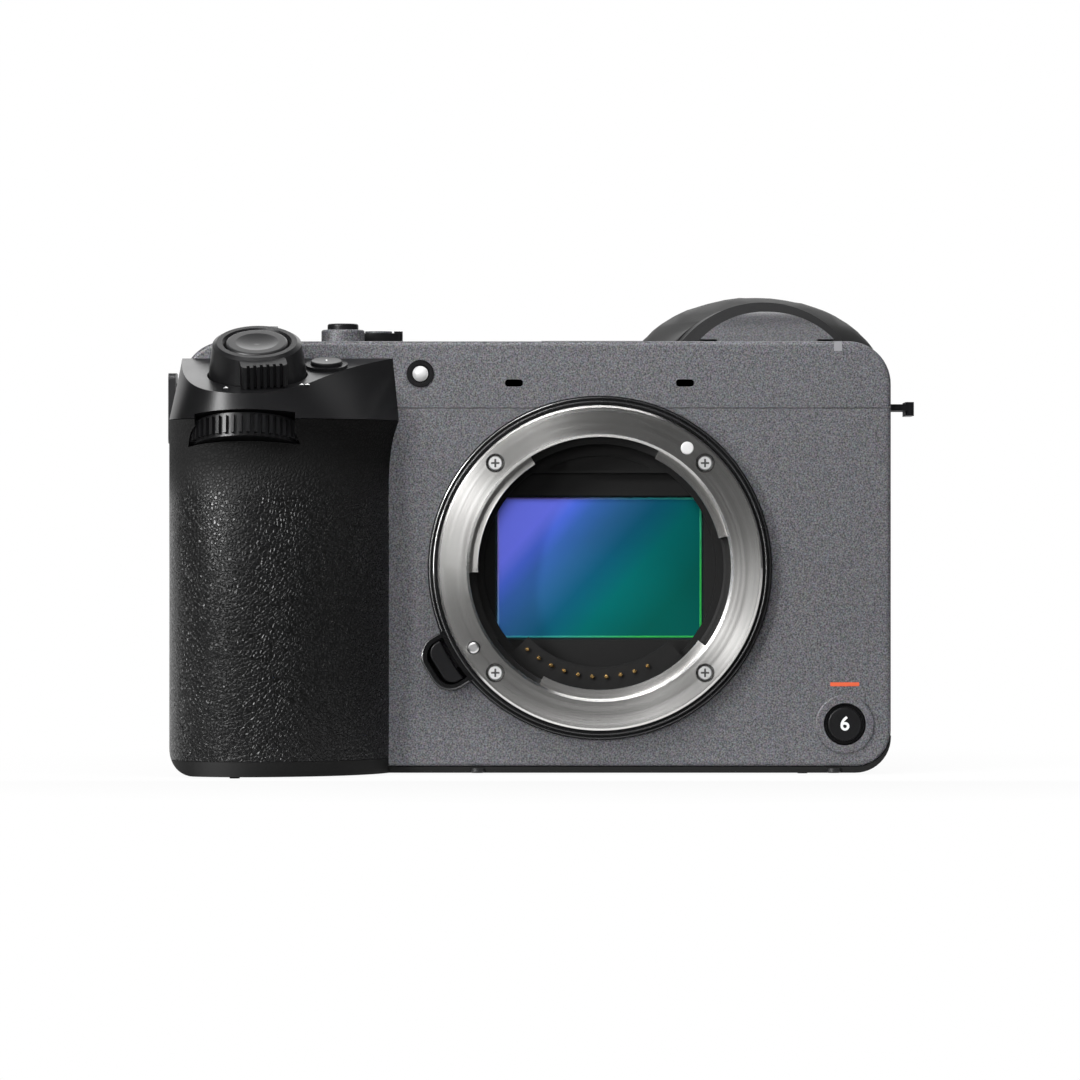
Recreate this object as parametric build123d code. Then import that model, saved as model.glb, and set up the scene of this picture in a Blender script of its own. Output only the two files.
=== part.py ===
from build123d import *
import math
import os

# Box-style full-frame cinema camera with a tilting viewfinder, in millimetres.
# X runs to the right seen from the front, Y from front to rear, Z up.
# The origin is the tripod socket's axis on the plane that the feet stand on.

# Body shell, measured from the lens axis and the standing plane
body_left = 75.0
body_right = 52.25
body_height = 77.8
body_depth = 48.0
cover_setback = 4.0
mount_face_y = -26.0
wall = 1.6
seam = 0.12
top_corner = 7.7
bottom_corner = 6.4
front_edge = 0.8
rear_edge = 1.5
top_seam_drop = 12.0
side_seam_y = 3.5
foot_height = 0.3
foot_radius = 0.9
base_thickness = 1.15
slide_gap = 0.2
pin_gap = 0.08
near_gap = 0.3

# Lens mount
mount_z = 37.1
ring_radius = 29.1
ring_bore = 23.5
ring_thickness = 2.8
tab_radius = 21.9
tab_setback = 1.3
tab_spans = ((14.0, 63.3), (122.0, 182.0), (242.5, 323.5))
screw_circle = 26.55
screw_head_radius = 1.35
screw_shank_radius = 0.8
surround_radius = 30.8
surround_proud = 3.0
index_circle = 26.5
index_angle = 54.0
index_radius = 1.15
lock_circle = 26.8
lock_angle = 212.2
lock_radius = 0.98
release_angle = 211.6
release_rim_reach = 36.1
release_rim_half = 5.2
release_rim_wall = 1.0
release_corner = 3.8
release_reach = 34.3
release_inner = 31.5
release_half = 4.0
throat_radius = 22.6
throat_wall = 2.0
contact_inner = 17.9
contact_span = (-136.0, -47.0)
contact_setback = 6.5
contact_pin_circle = 19.65
contact_pin_radius = 0.35
contact_pin_first = -131.6
contact_pin_pitch = 7.51
contact_pin_count = 10

# Imaging block, measured back from the mount face
flange_distance = 18.0
glass_size = (37.05, 25.4)
glass_thickness = 0.8
active_size = (35.9, 23.9)
package_size = (41.0, 30.0)
package_thickness = 2.8
stabiliser_travel = 1.0
stabiliser_size = (64.4, 52.2)
stabiliser_thickness = 4.6
shutter_thickness = 3.6
shutter_y = -15.4
shutter_window = (37.6, 26.0)
blade_width = 40.0
blade_height = 13.2
blade_thickness = 0.3
shutter_rail = 1.0
board_y = 1.0
board_thickness = 1.5
chassis_thickness = 3.2
chassis_left = 40.0
chassis_right = 38.4
chassis_drop = 8.8
board_margin = 1.5
board_chips = ((-20.0, 40.0, 16, 16, 1.8), (2.0, 38.0, 12, 14, 1.4), (-22.0, 18.0, 10, 8, 1.2),
               (20.0, 52.0, 9, 9, 1.2), (24.0, 14.0, 12, 6, 2.2), (-2.0, 16.0, 14, 7, 1.6))

# Grip
grip_left = 77.0
grip_right = 37.9
grip_depth = 24.5
grip_wall = 1.5
grip_corner = 5.0
grip_seam_drop = 14.3
grip_cap_height = 2.95
grip_side_end = 8.0
grip_top_drop = 3.1
grip_top_slope = 15.6
# Depth of each lofted section from the feet up to the seam, as a share of grip_depth
grip_shares = (0.93, 0.955, 0.985, 1.0, 0.97, 0.885, 1.03)
# How far the inner edge of the two topmost sections leans toward the lens
grip_lean = (0.0, 1.8)
# Plan outline of one section: share of width from the inner edge, share of depth
grip_plan = ((0.0, 0.0), (0.055, 0.27), (0.21, 0.66), (0.46, 0.94),
             (0.67, 1.0), (0.87, 0.86), (0.98, 0.49), (1.0, 0.0))
# Plan outline of the sloping top face, from its inner end to the left side: X and reach ahead
grip_top_plan = ((-37.2, 0.0), (-42.6, 4.6), (-47.3, 10.2), (-53.2, 19.2),
                 (-60.5, 24.0), (-68.5, 22.8), (-73.4, 14.5), (-75.0, 0.0))

# Battery and media
battery_size = (22.7, 38.7)
battery_head_room = 22.8
battery_left = 72.9
battery_front = 36.0
battery_z = 3.3
battery_corner = 3.0
bay_margin = 0.6
battery_door_edge = 0.6
card_block = (28.0, 10.5, 28.0)
card_block_y = 10.0
card_block_z = 18.0
card_slot = (2.4, 24.6)

# Viewfinder
finder_x = 31.0
finder_half = 17.5
finder_rise = 6.5
finder_arch = 16.9
finder_front_half = 16.4
finder_height = 27.1
finder_band_y = 30.0
finder_band_rise = 8.8
finder_band_arch = 19.5
finder_rear = 44.0
finder_pivot_y = 14.0
finder_nose = 7.8
finder_nose_gap = 0.9
finder_ear_width = 3.0
finder_ear_inset = 11.0
finder_ear_half = 2.2
finder_pin_radius = 1.2
recess_gap = 0.4
recess_wall = 1.4
eyepiece_x = 30.2
eyepiece_drop = 13.0
eyepiece_radius = 9.5
cup_base = (16.8, 15.2)
cup_rim = (24.9, 17.1)
cup_depth = 11.7
diopter_radius = 5.0
diopter_y = 36.0
diopter_drop = 16.3

# Monitor
monitor_left = 26.0
monitor_right = 44.4
monitor_low = 4.0
monitor_drop = 24.8
monitor_stand_off = 0.3
monitor_thickness = 8.6
monitor_glass = (62.0, 42.0)
monitor_axis_x = 48.6
monitor_axis_reach = 4.4
monitor_barrel = 3.6
monitor_pin = 1.2
monitor_ear_low = (14.0, 18.0)
monitor_ear_high = (40.0, 44.0)

# Top controls
lever_base_x = -61.0
lever_base_y = -33.6
lever_base_drop = 6.5
lever_tilt = 25.0
lever_base_radius = 8.67
lever_rim_radius = 7.65
lever_height = 6.6
lever_sink = 1.1
lever_tab_reach = 10.4
lever_tab_half = 4.1
lever_tab_turn = 10.0
lever_tab_ribs = 7
shutter_button_radius = 5.6
dial_x = -62.8
dial_y = -37.5
dial_drop = 17.3
dial_tilt = 13.0
dial_radius = 10.0
dial_thickness = 4.2
dial_pin = 1.5
dial_ribs = 44
dial_groove = 0.8
dial_gap_share = 0.58
custom_place = (-48.9, -28.0)
custom_ring = 3.75
custom_radius = 2.8
rear_dial_x = -61.6
rear_dial_y = 17.2
rear_dial_drop = 5.4
rear_dial_radius = 9.3
rear_dial_width = 5.4
rear_dial_ribs = 30
top_button_place = (-46.4, -13.0)
top_boss_radius = 3.9
top_boss_height = 2.3
top_button_radius = 2.8
mode_place = (-40.2, -3.5)
mode_cap_radius = 2.45
mode_radius = 4.2
shoe_half = 9.3
shoe_slot_half = 9.35
shoe_mouth_half = 6.3
shoe_slot_height = 2.2
shoe_floor_drop = 2.8
shoe_front = -10.0
shoe_rear = 10.0

# Front details
record_place = (43.95, 9.03)
record_ring = 5.3
record_boss = 0.45
record_well = 3.8
record_radius = 3.05
lamp_x = -32.26
lamp_drop = 5.83
lamp_bezel_radius = 2.45
lamp_radius = 1.38
mic_places = (-15.44, 15.26)
mic_drop = 7.5
mic_size = (3.3, 1.3)
tally_x = 42.73
tally_size = (1.45, 1.75, 3.0)

# Rear controls
joystick_x = -37.0
joystick_drop = 18.8
joystick_cap = 3.3
joystick_stem = 1.4
joystick_pivot_depth = 3.0
wheel_place = (-52.0, 36.0)
wheel_radius = 11.0
wheel_bore = 5.4
wheel_ribs = 40
select_radius = 4.2
menu_drop = 17.8
low_button_z = 14.5
thumb_rest_x = (-73.0, -62.5)
thumb_rest_drop = (27.8, 12.8)

# Side fittings
lug_right_y = (-8.6, 3.4)
lug_arm_width = 2.6
lug_reach = 4.9
lug_bar = 1.5
lug_height = (-1.15, 1.35)
lug_arm_height = (-0.3, 1.0)
lug_left_y = (10.0, 17.6)
lug_left_height = (-5.9, 7.1)
lug_left_offset = 2.9
lug_left_thickness = 1.4
thread_radius = 3.175
insert_radius = 4.2
insert_depth = 6.0
top_threads = ((-23.0, 4.0), (31.0, -9.0))
socket_radius = 5.6
socket_depth = 7.6
port_doors = {"port_door_upper": (35.5, 54.5), "port_door_lower": (12.5, 33.5)}
port_front = -14.3
port_length = 33.0
card_door_z = (13.0, 50.0)
card_door_y = (9.2, 23.0)
door_thickness = 1.2
hinge_pin = 0.4
hinge_barrel = 0.8
fan_place = (20.0, 30.0)
fan_radius = 11.0
fan_blades = 9
fan_hub = 3.6
fan_pin = 1.0

# Planes that follow from the sizes above
front_y = mount_face_y + cover_setback
rear_y = front_y + body_depth
inner_front = front_y + wall
inner_rear = rear_y - wall
monitor_y = rear_y + monitor_stand_off
monitor_axis = (monitor_axis_x, rear_y + monitor_axis_reach)
joystick_pivot_y = rear_y - joystick_pivot_depth
cover_z = foot_height + base_thickness
floor_z = cover_z + wall
inner_left = wall - body_left
inner_right = body_right - wall
roof_z = body_height - wall
ring_back = mount_face_y + ring_thickness
top_seam_z = body_height - top_seam_drop
chassis_top = body_height - chassis_drop
grip_seam_z = body_height - grip_seam_drop
grip_top_rise = body_height - grip_top_drop
grip_step = (grip_seam_z - foot_height) / (len(grip_shares) - 1)
grip_leans = (0.0,) * (len(grip_shares) - len(grip_lean)) + grip_lean
grip_sections = [(foot_height + i * grip_step, share, lean)
                 for i, (share, lean) in enumerate(zip(grip_shares, grip_leans))]
finder_top = body_height + finder_rise
finder_bottom = finder_top - finder_height
finder_pivot = (finder_pivot_y, finder_top - finder_nose)
eyepiece = (eyepiece_x, finder_top - eyepiece_drop)
diopter_place = (diopter_y, finder_top - diopter_drop)
monitor_high = body_height - monitor_drop
lever_base = (lever_base_x, lever_base_y, body_height - lever_base_drop)
dial_centre = (dial_x, dial_y, body_height - dial_drop)
rear_dial_centre = (rear_dial_x, rear_dial_y, body_height - rear_dial_drop)
shoe_floor_z = body_height - shoe_floor_drop
lamp_place = (lamp_x, body_height - lamp_drop)
mic_z = body_height - mic_drop
joystick_place = (joystick_x, body_height - joystick_drop)
rear_buttons = {"menu_button": (-9.0, body_height - menu_drop, 2.6),
                "playback_button": (-41.0, low_button_z, 2.9),
                "delete_button": (-61.0, low_button_z, 2.9)}
lug_z = [top_seam_z + height for height in lug_height]
lug_arm_z = [top_seam_z + height for height in lug_arm_height]
lug_left_z = [top_seam_z + height for height in lug_left_height]
card_axis_x = hinge_barrel - body_left
shutter_height = shutter_window[1] + 2 * (blade_height + shutter_rail)
# The chamber holds the taller of the moving stabiliser and the parked blades
chamber_size = (stabiliser_size[0] + 2 * near_gap,
                max(stabiliser_size[1] + 2 * (stabiliser_travel + near_gap), shutter_height + 2 * slide_gap))
shutter_size = (chamber_size[0] - 2 * slide_gap, chamber_size[1] - 2 * slide_gap)
sensor_y = mount_face_y + flange_distance
package_y = sensor_y - 1.4
glass_y = package_y - glass_thickness
battery_x = (-battery_left, battery_size[0] - battery_left)
battery_y = (-battery_front, battery_size[1] - battery_front)
battery_top = body_height - battery_head_room
bay_right = battery_x[1] + bay_margin
finder_wall_y = finder_pivot_y - finder_nose - finder_nose_gap
recess_x = (finder_x - finder_half - recess_gap, finder_x + finder_half + recess_gap)
recess_floor = finder_bottom - 0.6
monitor_rear = monitor_y + monitor_thickness
grip_floor_z = battery_top + near_gap
lug_window = lug_reach - lug_bar
lug_arm_y = (lug_right_y[0], lug_right_y[1] - lug_arm_width)


def prism_x(sketch, x_from, x_to):
    """A sketch in Y and Z, drawn out along X."""
    return extrude(Plane.YZ.offset(x_from) * sketch, x_to - x_from)


def prism_y(sketch, y_from, y_to):
    """A sketch in X and Z, drawn out along Y."""
    plane = Plane(origin=(0, y_to, 0), x_dir=(1, 0, 0), z_dir=(0, -1, 0))
    return extrude(plane * sketch, y_to - y_from)


def prism_z(sketch, z_from, z_to):
    """A sketch in X and Y, drawn out along Z."""
    return extrude(Plane.XY.offset(z_from) * sketch, z_to - z_from)


def block(x, y, z):
    """A box between pairs of coordinates."""
    middle = [(low + high) / 2 for low, high in (x, y, z)]
    return Pos(*middle) * Box(x[1] - x[0], y[1] - y[0], z[1] - z[0])


def disc(place, radius):
    return Pos(place[0], place[1]) * Circle(radius)


def plate(u, v, corner=0.0):
    """A rectangle between pairs of coordinates, with round corners if asked."""
    size = (u[1] - u[0], v[1] - v[0])
    shape = RectangleRounded(*size, corner) if corner else Rectangle(*size)
    return Pos((u[0] + u[1]) / 2, (v[0] + v[1]) / 2) * shape


def polar(radius, degrees):
    """A place on the mount, in X and Z."""
    angle = math.radians(degrees)
    return (radius * math.cos(angle), mount_z + radius * math.sin(angle))


def sector(r_in, r_out, a_from, a_to):
    outer = CenterArc((0, 0), r_out, a_from, a_to - a_from)
    inner = CenterArc((0, 0), r_in, a_from, a_to - a_from)
    return make_face([outer, Line(outer @ 1, inner @ 1), inner, Line(inner @ 0, outer @ 0)])


def on_mount(sketch):
    return Pos(0, mount_z) * sketch


def body_outline(inset=0.0):
    """Rounded rectangle of the covers in X and Z."""
    outline = plate((inset - body_left, body_right - inset), (cover_z + inset, body_height - inset))
    outline = fillet(outline.vertices().group_by(Axis.Y)[-1], top_corner - inset)
    return fillet(outline.vertices().group_by(Axis.Y)[0], bottom_corner - inset)


def shell():
    """The three covers in one, before the seams part them."""
    outer = prism_y(body_outline(), front_y, rear_y)
    outer = fillet(outer.faces().sort_by(Axis.Y)[0].outer_wire().edges(), front_edge)
    outer = fillet(outer.faces().sort_by(Axis.Y)[-1].outer_wire().edges(), rear_edge)
    return outer - prism_y(body_outline(wall), inner_front, inner_rear)


def release_shape(reach, half, corner, inner):
    """D shape beside the mount, cut off by a circle about the lens axis."""
    shape = plate((inner - 8, reach), (-half, half), corner)
    return on_mount(Rot(0, 0, release_angle) * (shape - Circle(inner)))


def release_pocket(margin=0.0):
    reach = release_rim_reach - release_rim_wall + margin
    half = release_rim_half - release_rim_wall + margin
    return release_shape(reach, half, release_corner - release_rim_wall + margin, surround_radius)


def side_door_cut(x_axis, y_axis, z, far_y):
    """Opening in a side wall for a door and the pin it turns on."""
    toward = 1 if far_y > y_axis else -1
    near = y_axis - toward * (hinge_barrel + slide_gap)
    far = far_y + toward * slide_gap
    return block((x_axis - 3, x_axis + 3), (min(near, far), max(near, far)), z)


def side_door(side, x_axis, y_axis, z, far_y):
    """Leaf flush with the wall and the barrel that turns on the wall's pin."""
    low, high = z[0] + slide_gap, z[1] - slide_gap
    outer = x_axis + side * hinge_barrel
    inner = outer - side * door_thickness
    leaf = block((min(outer, inner), max(outer, inner)), (min(y_axis, far_y), max(y_axis, far_y)),
                 (low, high))
    barrel = prism_z(disc((x_axis, y_axis), hinge_barrel), low, high)
    bore = prism_z(disc((x_axis, y_axis), hinge_pin + pin_gap), low - 1, high + 1)
    return leaf + barrel - bore


def side_pin(x_axis, y_axis, z):
    return prism_z(disc((x_axis, y_axis), hinge_pin), z[0] - 0.8, z[1] + 0.8)


def ribbed_wheel(radius, width, ribs, bore, groove=0.35, gap_share=0.42):
    """Control wheel about Z with a knurl of flat-topped ribs."""
    gap = gap_share * 2 * math.pi * radius / ribs
    wheel = Circle(radius) - PolarLocations(radius, ribs) * Rectangle(2 * groove + 0.2, gap)
    core = extrude(Circle(radius - groove), width)
    teeth = Pos(0, 0, 0.5) * extrude(wheel, width - 1.0)
    return Pos(0, 0, -width / 2) * (core + teeth - extrude(Circle(bore), width))


dial_frame = Plane(origin=dial_centre, x_dir=(1, 0, 0),
                   z_dir=(0, math.sin(math.radians(dial_tilt)), math.cos(math.radians(dial_tilt))))
lever_frame = Plane(origin=lever_base, x_dir=(1, 0, 0),
                    z_dir=(0, -math.sin(math.radians(lever_tilt)), math.cos(math.radians(lever_tilt))))
top_face_frame = Plane(origin=(0, front_y, grip_top_rise), x_dir=(1, 0, 0),
                       z_dir=(0, -math.sin(math.radians(grip_top_slope)),
                              math.cos(math.radians(grip_top_slope))))
rear_dial_frame = Plane(origin=rear_dial_centre, x_dir=(0, 1, 0), z_dir=(1, 0, 0))


def custom_frame():
    slope = math.tan(math.radians(grip_top_slope))
    height = grip_top_rise + (custom_place[1] - front_y) * slope
    return Plane(origin=(custom_place[0], custom_place[1], height), x_dir=(1, 0, 0),
                 z_dir=top_face_frame.z_dir)


# Covers

def recess_cut(margin=0.0):
    """Space behind and above the body that the viewfinder folds into."""
    return block((recess_x[0] - margin, recess_x[1] + margin), (finder_wall_y - margin, rear_y + 5),
                 (recess_floor - margin, body_height + 9))


def recess_lining():
    return recess_cut(recess_wall) & prism_y(body_outline(0.4), finder_wall_y - recess_wall, inner_rear)


def front_cover():
    part = shell() & block((-90, 60), (front_y - 1, side_seam_y - seam / 2), (0, top_seam_z - seam / 2))
    well = prism_y(disc(record_place, record_well + 1.0), front_y + 0.8, front_y + 6.4)
    part += well - prism_y(disc(record_place, record_well), front_y, front_y + 5.4)
    boss = prism_y(disc(record_place, record_ring), front_y - record_boss, front_y + 0.2)
    part += fillet(boss.faces().sort_by(Axis.Y)[0].edges(), 0.3)
    part -= prism_y(disc(record_place, record_well), front_y - 1, front_y + 5.4)
    part -= prism_y(on_mount(Circle(surround_radius + seam)), front_y - 1, inner_front)
    part -= prism_y(release_pocket(), front_y - 1, inner_front)
    part -= block((-90, bay_right), (front_y - 1, side_seam_y + 1), (0, grip_floor_z + 2))
    part -= prism_z(Circle(socket_radius + seam), 0, floor_z + 1)
    part -= block((bay_right - 1, bay_right + 3), (battery_y[0], side_seam_y + 1), (0, floor_z + 1))
    for z in port_doors.values():
        part -= side_door_cut(inner_right + hinge_barrel, port_front, z, side_seam_y + 20)
        part += side_pin(inner_right + hinge_barrel, port_front, z)
    return part - lug_slots()


def lug_slots():
    """Openings in the side wall for the two arms of the level strap eyelet."""
    return [block((inner_right - 1, body_right + 1), (y, y + lug_arm_width), lug_arm_z) for y in lug_arm_y]


def fan_shroud():
    tube = prism_y(disc(fan_place, fan_radius + 1.6) - disc(fan_place, fan_radius + 0.6), rear_y - 8,
                   inner_rear + 0.2)
    pin = prism_y(disc(fan_place, fan_pin), rear_y - 8, rear_y - wall / 2)
    return tube + pin


def vents():
    slots = []
    for side in (-1, 1):
        for length, offset in ((15.0, 4.9), (11.0, 7.8)):
            place = Pos(fan_place[0] + side * offset, fan_place[1])
            slots.append(place * SlotOverall(length, 1.5, rotation=90))
    return prism_y(Sketch() + slots, inner_rear - 1, rear_y + 1)


def rear_cover():
    part = shell() & block((-90, 60), (side_seam_y + seam / 2, rear_y + 1), (0, top_seam_z - seam / 2))
    keep = block((-90, 60), (side_seam_y + seam / 2, rear_y), (0, top_seam_z - seam / 2))
    part += recess_lining() & keep
    part -= recess_cut()
    rest = plate(thumb_rest_x, [body_height - drop for drop in thumb_rest_drop], 3.5)
    thumb = prism_y(rest, rear_y - 0.4, rear_y + 3.2)
    part += fillet(thumb.faces().sort_by(Axis.Y)[-1].outer_wire().edges(), 2.0)
    part += prism_y(disc(wheel_place, wheel_radius + 1.6), inner_rear - 1.2, inner_rear + 0.2)
    part -= prism_y(disc(wheel_place, wheel_radius + near_gap), rear_y - 1.0, rear_y + 1)
    part += prism_y(disc(wheel_place, wheel_bore - slide_gap / 2), rear_y - 1.2, rear_y + 1.6)
    part -= prism_y(disc(wheel_place, select_radius + slide_gap), inner_rear - 2, rear_y + 3)
    socket = disc(joystick_place, 3.4) - disc(joystick_place, 1.95)
    part += prism_y(socket, inner_rear - 3.0, inner_rear + 0.2)
    part -= prism_y(disc(joystick_place, joystick_stem + 0.9), inner_rear, rear_y + 1)
    for x, z, radius in rear_buttons.values():
        part -= prism_y(disc((x, z), radius + slide_gap), inner_rear - 1, rear_y + 1)
    part += fan_shroud()
    part -= vents()
    part -= side_door_cut(card_axis_x, card_door_y[1], card_door_z, card_door_y[0])
    part += side_pin(card_axis_x, card_door_y[1], card_door_z)
    for z in port_doors.values():
        part -= side_door_cut(inner_right + hinge_barrel, port_front, z, port_front + port_length)
    part += monitor_ears()
    part -= prism_z(Circle(socket_radius + seam), 0, floor_z + 1)
    part -= block((-body_left - 1, inner_left + 0.1), (lug_left_y[0], lug_left_y[1]),
                  (lug_left_z[0], lug_left_z[0] + 1.7))
    return part


def monitor_ears():
    """Two fixed ears behind the rear face and the pin between them."""
    x, y = monitor_axis
    ears = Part()
    for low, high in (monitor_ear_low, monitor_ear_high):
        ears += prism_z(disc((x, y), monitor_barrel), low, high)
        ears += block((x - monitor_barrel, x + 3.4), (rear_y - 0.2, y), (low, high))
    return ears + prism_z(disc((x, y), monitor_pin), monitor_ear_low[0], monitor_ear_high[1])


def top_cover():
    part = shell() & block((-90, 60), (front_y - 1, rear_y + 1), (top_seam_z + seam / 2, 90))
    part += recess_lining() & block((-90, 60), (side_seam_y - 2, rear_y), (top_seam_z + seam / 2, 90))
    deck = block((-shoe_half - 2.6, recess_x[0] - 0.2), (shoe_front - 1.8, inner_rear + 0.2),
                 (shoe_floor_z - 1.6, roof_z + 0.2))
    part += deck
    part -= recess_cut()
    part -= block((-shoe_half - 1.2, shoe_half + 1.2), (shoe_front, shoe_rear), (shoe_floor_z - 0.8, 90))
    part -= block((-shoe_slot_half, shoe_slot_half), (shoe_rear - 1, rear_y + 1), (shoe_floor_z, 90))
    part -= prism_y(on_mount(Circle(surround_radius + seam)), front_y - 1, inner_front)
    part -= prism_y(disc(lamp_place, lamp_bezel_radius + 0.03), front_y - 1, inner_front + 1)
    for x in mic_places:
        part -= prism_y(Pos(x, mic_z) * SlotOverall(*mic_size), front_y - 1, inner_front + 1)
    part -= block((tally_x - tally_size[0] / 2, tally_x + tally_size[0] / 2),
                  (front_y - 1, front_y + tally_size[2]),
                  (body_height - tally_size[1], 90))
    boss = prism_z(disc(top_button_place, top_boss_radius), roof_z - 1.4, body_height + top_boss_height)
    part += fillet(boss.edges().group_by(Axis.Z)[-1], 0.4)
    part -= prism_z(disc(top_button_place, top_button_radius + slide_gap / 2), roof_z - 2, 90)
    part += prism_z(disc(mode_place, dial_pin), body_height - 0.2, body_height + 1.4)
    part += prism_z(disc(mode_place, mode_cap_radius), body_height + 1.25, body_height + 2.3)
    for place in top_threads:
        part += prism_z(disc(place, insert_radius + 1.2), body_height - insert_depth, roof_z + 0.2)
        part -= prism_z(disc(place, insert_radius), body_height - insert_depth - 1, 90)
    part -= rear_dial_frame * (Pos(0, 0, -rear_dial_width / 2 - near_gap)
                               * Cylinder(rear_dial_radius + near_gap, rear_dial_width + 2 * near_gap,
                                          align=(Align.CENTER, Align.CENTER, Align.MIN)))
    half = rear_dial_width / 2 + near_gap
    for side in (-1, 1):
        x = rear_dial_centre[0] + side * (half + 0.7)
        part += block((x - 0.7, x + 0.7), (rear_dial_centre[1] - 2.5, rear_dial_centre[1] + 2.5),
                      (rear_dial_centre[2] - 2.5, roof_z + 0.2))
    part += rear_dial_frame * Pos(0, 0, -half - 0.5) * extrude(Circle(dial_pin), 2 * half + 1.0)
    return part - lug_slots()


def base_plate():
    tray = plate((-body_left, body_right), (foot_height, 30))
    tray = fillet(tray.vertices().group_by(Axis.Y)[0], bottom_corner)
    part = prism_y(tray, front_y + 0.2, rear_y - 0.2)
    part -= block((-90, -60), (front_y - 1, grip_side_end), (grip_cap_height, 90))
    lobe = grip_lobe(0.0, foot_height, grip_cap_height)
    lobe += block((-grip_left, -40), (front_y - 0.01, grip_side_end), (foot_height, grip_cap_height))
    part += lobe & grip_front_view()
    keep_out = plate((-90, 60), (cover_z - seam / 2, 90))
    part -= prism_y(body_outline(-seam / 2), front_y - 0.01, rear_y + 1)
    between = block((-body_left + bottom_corner, body_right - bottom_corner), (front_y, 40), (0, 90))
    part -= prism_y(keep_out, front_y - 0.01, rear_y + 1) & between
    for x, y in ((36.6, -15.0), (36.6, 19.0), (-64.7, -41.5), (-64.7, 19.0)):
        part += prism_z(disc((x, y), foot_radius), 0, foot_height + 0.2)
    part -= prism_z(Circle(socket_radius), -1, 6)
    part -= block((battery_x[0] - bay_margin, bay_right),
                  (battery_y[0] - bay_margin, battery_y[1] + bay_margin), (-1, 20))
    axis_x = bay_right + 0.9
    part -= block((bay_right - 1, axis_x + 0.95), (battery_y[0] + 3, battery_y[1] - 3), (-1, 20))
    part += prism_y(disc((axis_x, battery_hinge_z()), 0.4), battery_y[0] + 2.5, battery_y[1] - 2.5)
    return part


def battery_hinge_z():
    return foot_height + 0.85


# Grip

def grip_section(z, share, lean, inset):
    """Closed plan section: a smooth front from the inner edge round to the side."""
    left, right = inset - grip_left, lean - grip_right - inset
    depth = grip_depth * share - inset
    points = [(right + (left - right) * across, front_y - depth * ahead, z) for across, ahead in grip_plan]
    front = Spline(*points)
    return make_face([front, Line(front @ 1, front @ 0)])


def grip_lobe(inset, z_from, z_to):
    sections = [grip_section(*section, inset) for section in grip_sections]
    lobe = loft(sections)
    return lobe & block((-90, 0), (-70, front_y), (z_from, z_to))


def grip_front_view():
    """Everything inside the grip's outline seen from the front."""
    outline = plate((-grip_left, 60), (foot_height, 95))
    corner = outline.vertices().group_by(Axis.Y)[0].sort_by(Axis.X)[0]
    return prism_y(fillet(corner, grip_corner), -70, 40)


def front_dial_pocket():
    radius = dial_radius + near_gap
    deep = dial_thickness + 2 * near_gap
    pocket = Pos(0, 0, -deep / 2) * extrude(Circle(radius) - Circle(dial_pin), deep)
    mouth = Pos(0, -dial_radius, 0) * Box(17.8, 2 * 4.6, deep)
    return dial_frame * (pocket + mouth)


def grip_skin():
    lobe = grip_lobe(0.0, grip_cap_height + seam / 2, grip_seam_z - seam / 2)
    side = block((-grip_left, -body_left + 1.0), (front_y - 0.01, grip_side_end),
                 (grip_cap_height + seam / 2, grip_seam_z - seam / 2))
    part = (lobe + side) & grip_front_view()
    part -= prism_y(body_outline(), front_y, rear_y)
    part -= grip_lobe(grip_wall, 0.2, grip_seam_z)
    part -= block((battery_x[0] - near_gap, -50), (front_y - 0.5, side_seam_y), (0, battery_top + near_gap))
    part -= front_dial_pocket()
    return part


def grip_top():
    """Sloping shoulder plate with the seats of the lever, dial and button."""
    along_slope = math.cos(math.radians(grip_top_slope))
    edge = Spline(*[(x, -ahead / along_slope, 0) for x, ahead in grip_top_plan])
    face = top_face_frame * make_face([edge, Line(edge @ 1, edge @ 0)])
    foot = grip_section(grip_seam_z + seam / 2, *grip_sections[-1][1:], 0.0)
    part = loft([foot, face])
    plug = grip_lobe(grip_wall + 0.1, grip_floor_z, grip_seam_z)
    plug += extrude(grip_section(*grip_sections[-1], grip_wall + 0.1), 0.5)
    part += plug - block((-90, 0), (front_y - 0.4, 0), (0, 90))
    part += custom_frame() * Pos(0, 0, -1) * extrude(Circle(custom_ring), 1.55)
    part -= custom_frame() * Pos(0, 0, -2.2) * extrude(Circle(custom_radius + slide_gap / 2), 5)
    lever_seat = Pos(0, 0, -lever_sink - near_gap) * extrude(Circle(lever_base_radius + near_gap), 12)
    part -= lever_frame * lever_seat
    part -= front_dial_pocket()
    return part


def zoom_lever():
    low = -lever_sink
    bore = shutter_button_radius + 0.15
    outside = [(bore, low), (lever_base_radius, low), (lever_base_radius, 0.6)]
    rim = [(lever_rim_radius + 0.25, lever_height - 0.5), (lever_rim_radius - 0.5, lever_height),
           (bore + 0.45, lever_height), (bore, lever_height - 0.5)]
    profile = Polyline(*outside, *rim, close=True)
    ring = revolve(Plane.XZ * make_face(profile), Axis.Z)
    tab = plate((-lever_tab_half, lever_tab_half), (-lever_tab_reach, -6.5), 1.0)
    pitch = 2 * (lever_tab_half - 0.6) / (lever_tab_ribs - 1)
    grooves = [Pos((i + 0.5) * pitch - lever_tab_half + 0.6, -lever_tab_reach) * Rectangle(0.55, 1.8)
               for i in range(lever_tab_ribs - 1)]
    nose = Pos(0, 0, 2.0) * extrude(tab - grooves, lever_height - 2.4)
    return lever_frame * (ring + Rot(0, 0, lever_tab_turn) * nose)


def shutter_button():
    radius = shutter_button_radius
    stem = Pos(0, 0, 0.2) * extrude(Circle(radius), lever_height - 0.2)
    rim = stem.edges().group_by(Axis.Z)[-1]
    return lever_frame * (fillet(rim, 0.5) - Pos(0, 0, lever_height + 17.6) * Sphere(18))


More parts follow.
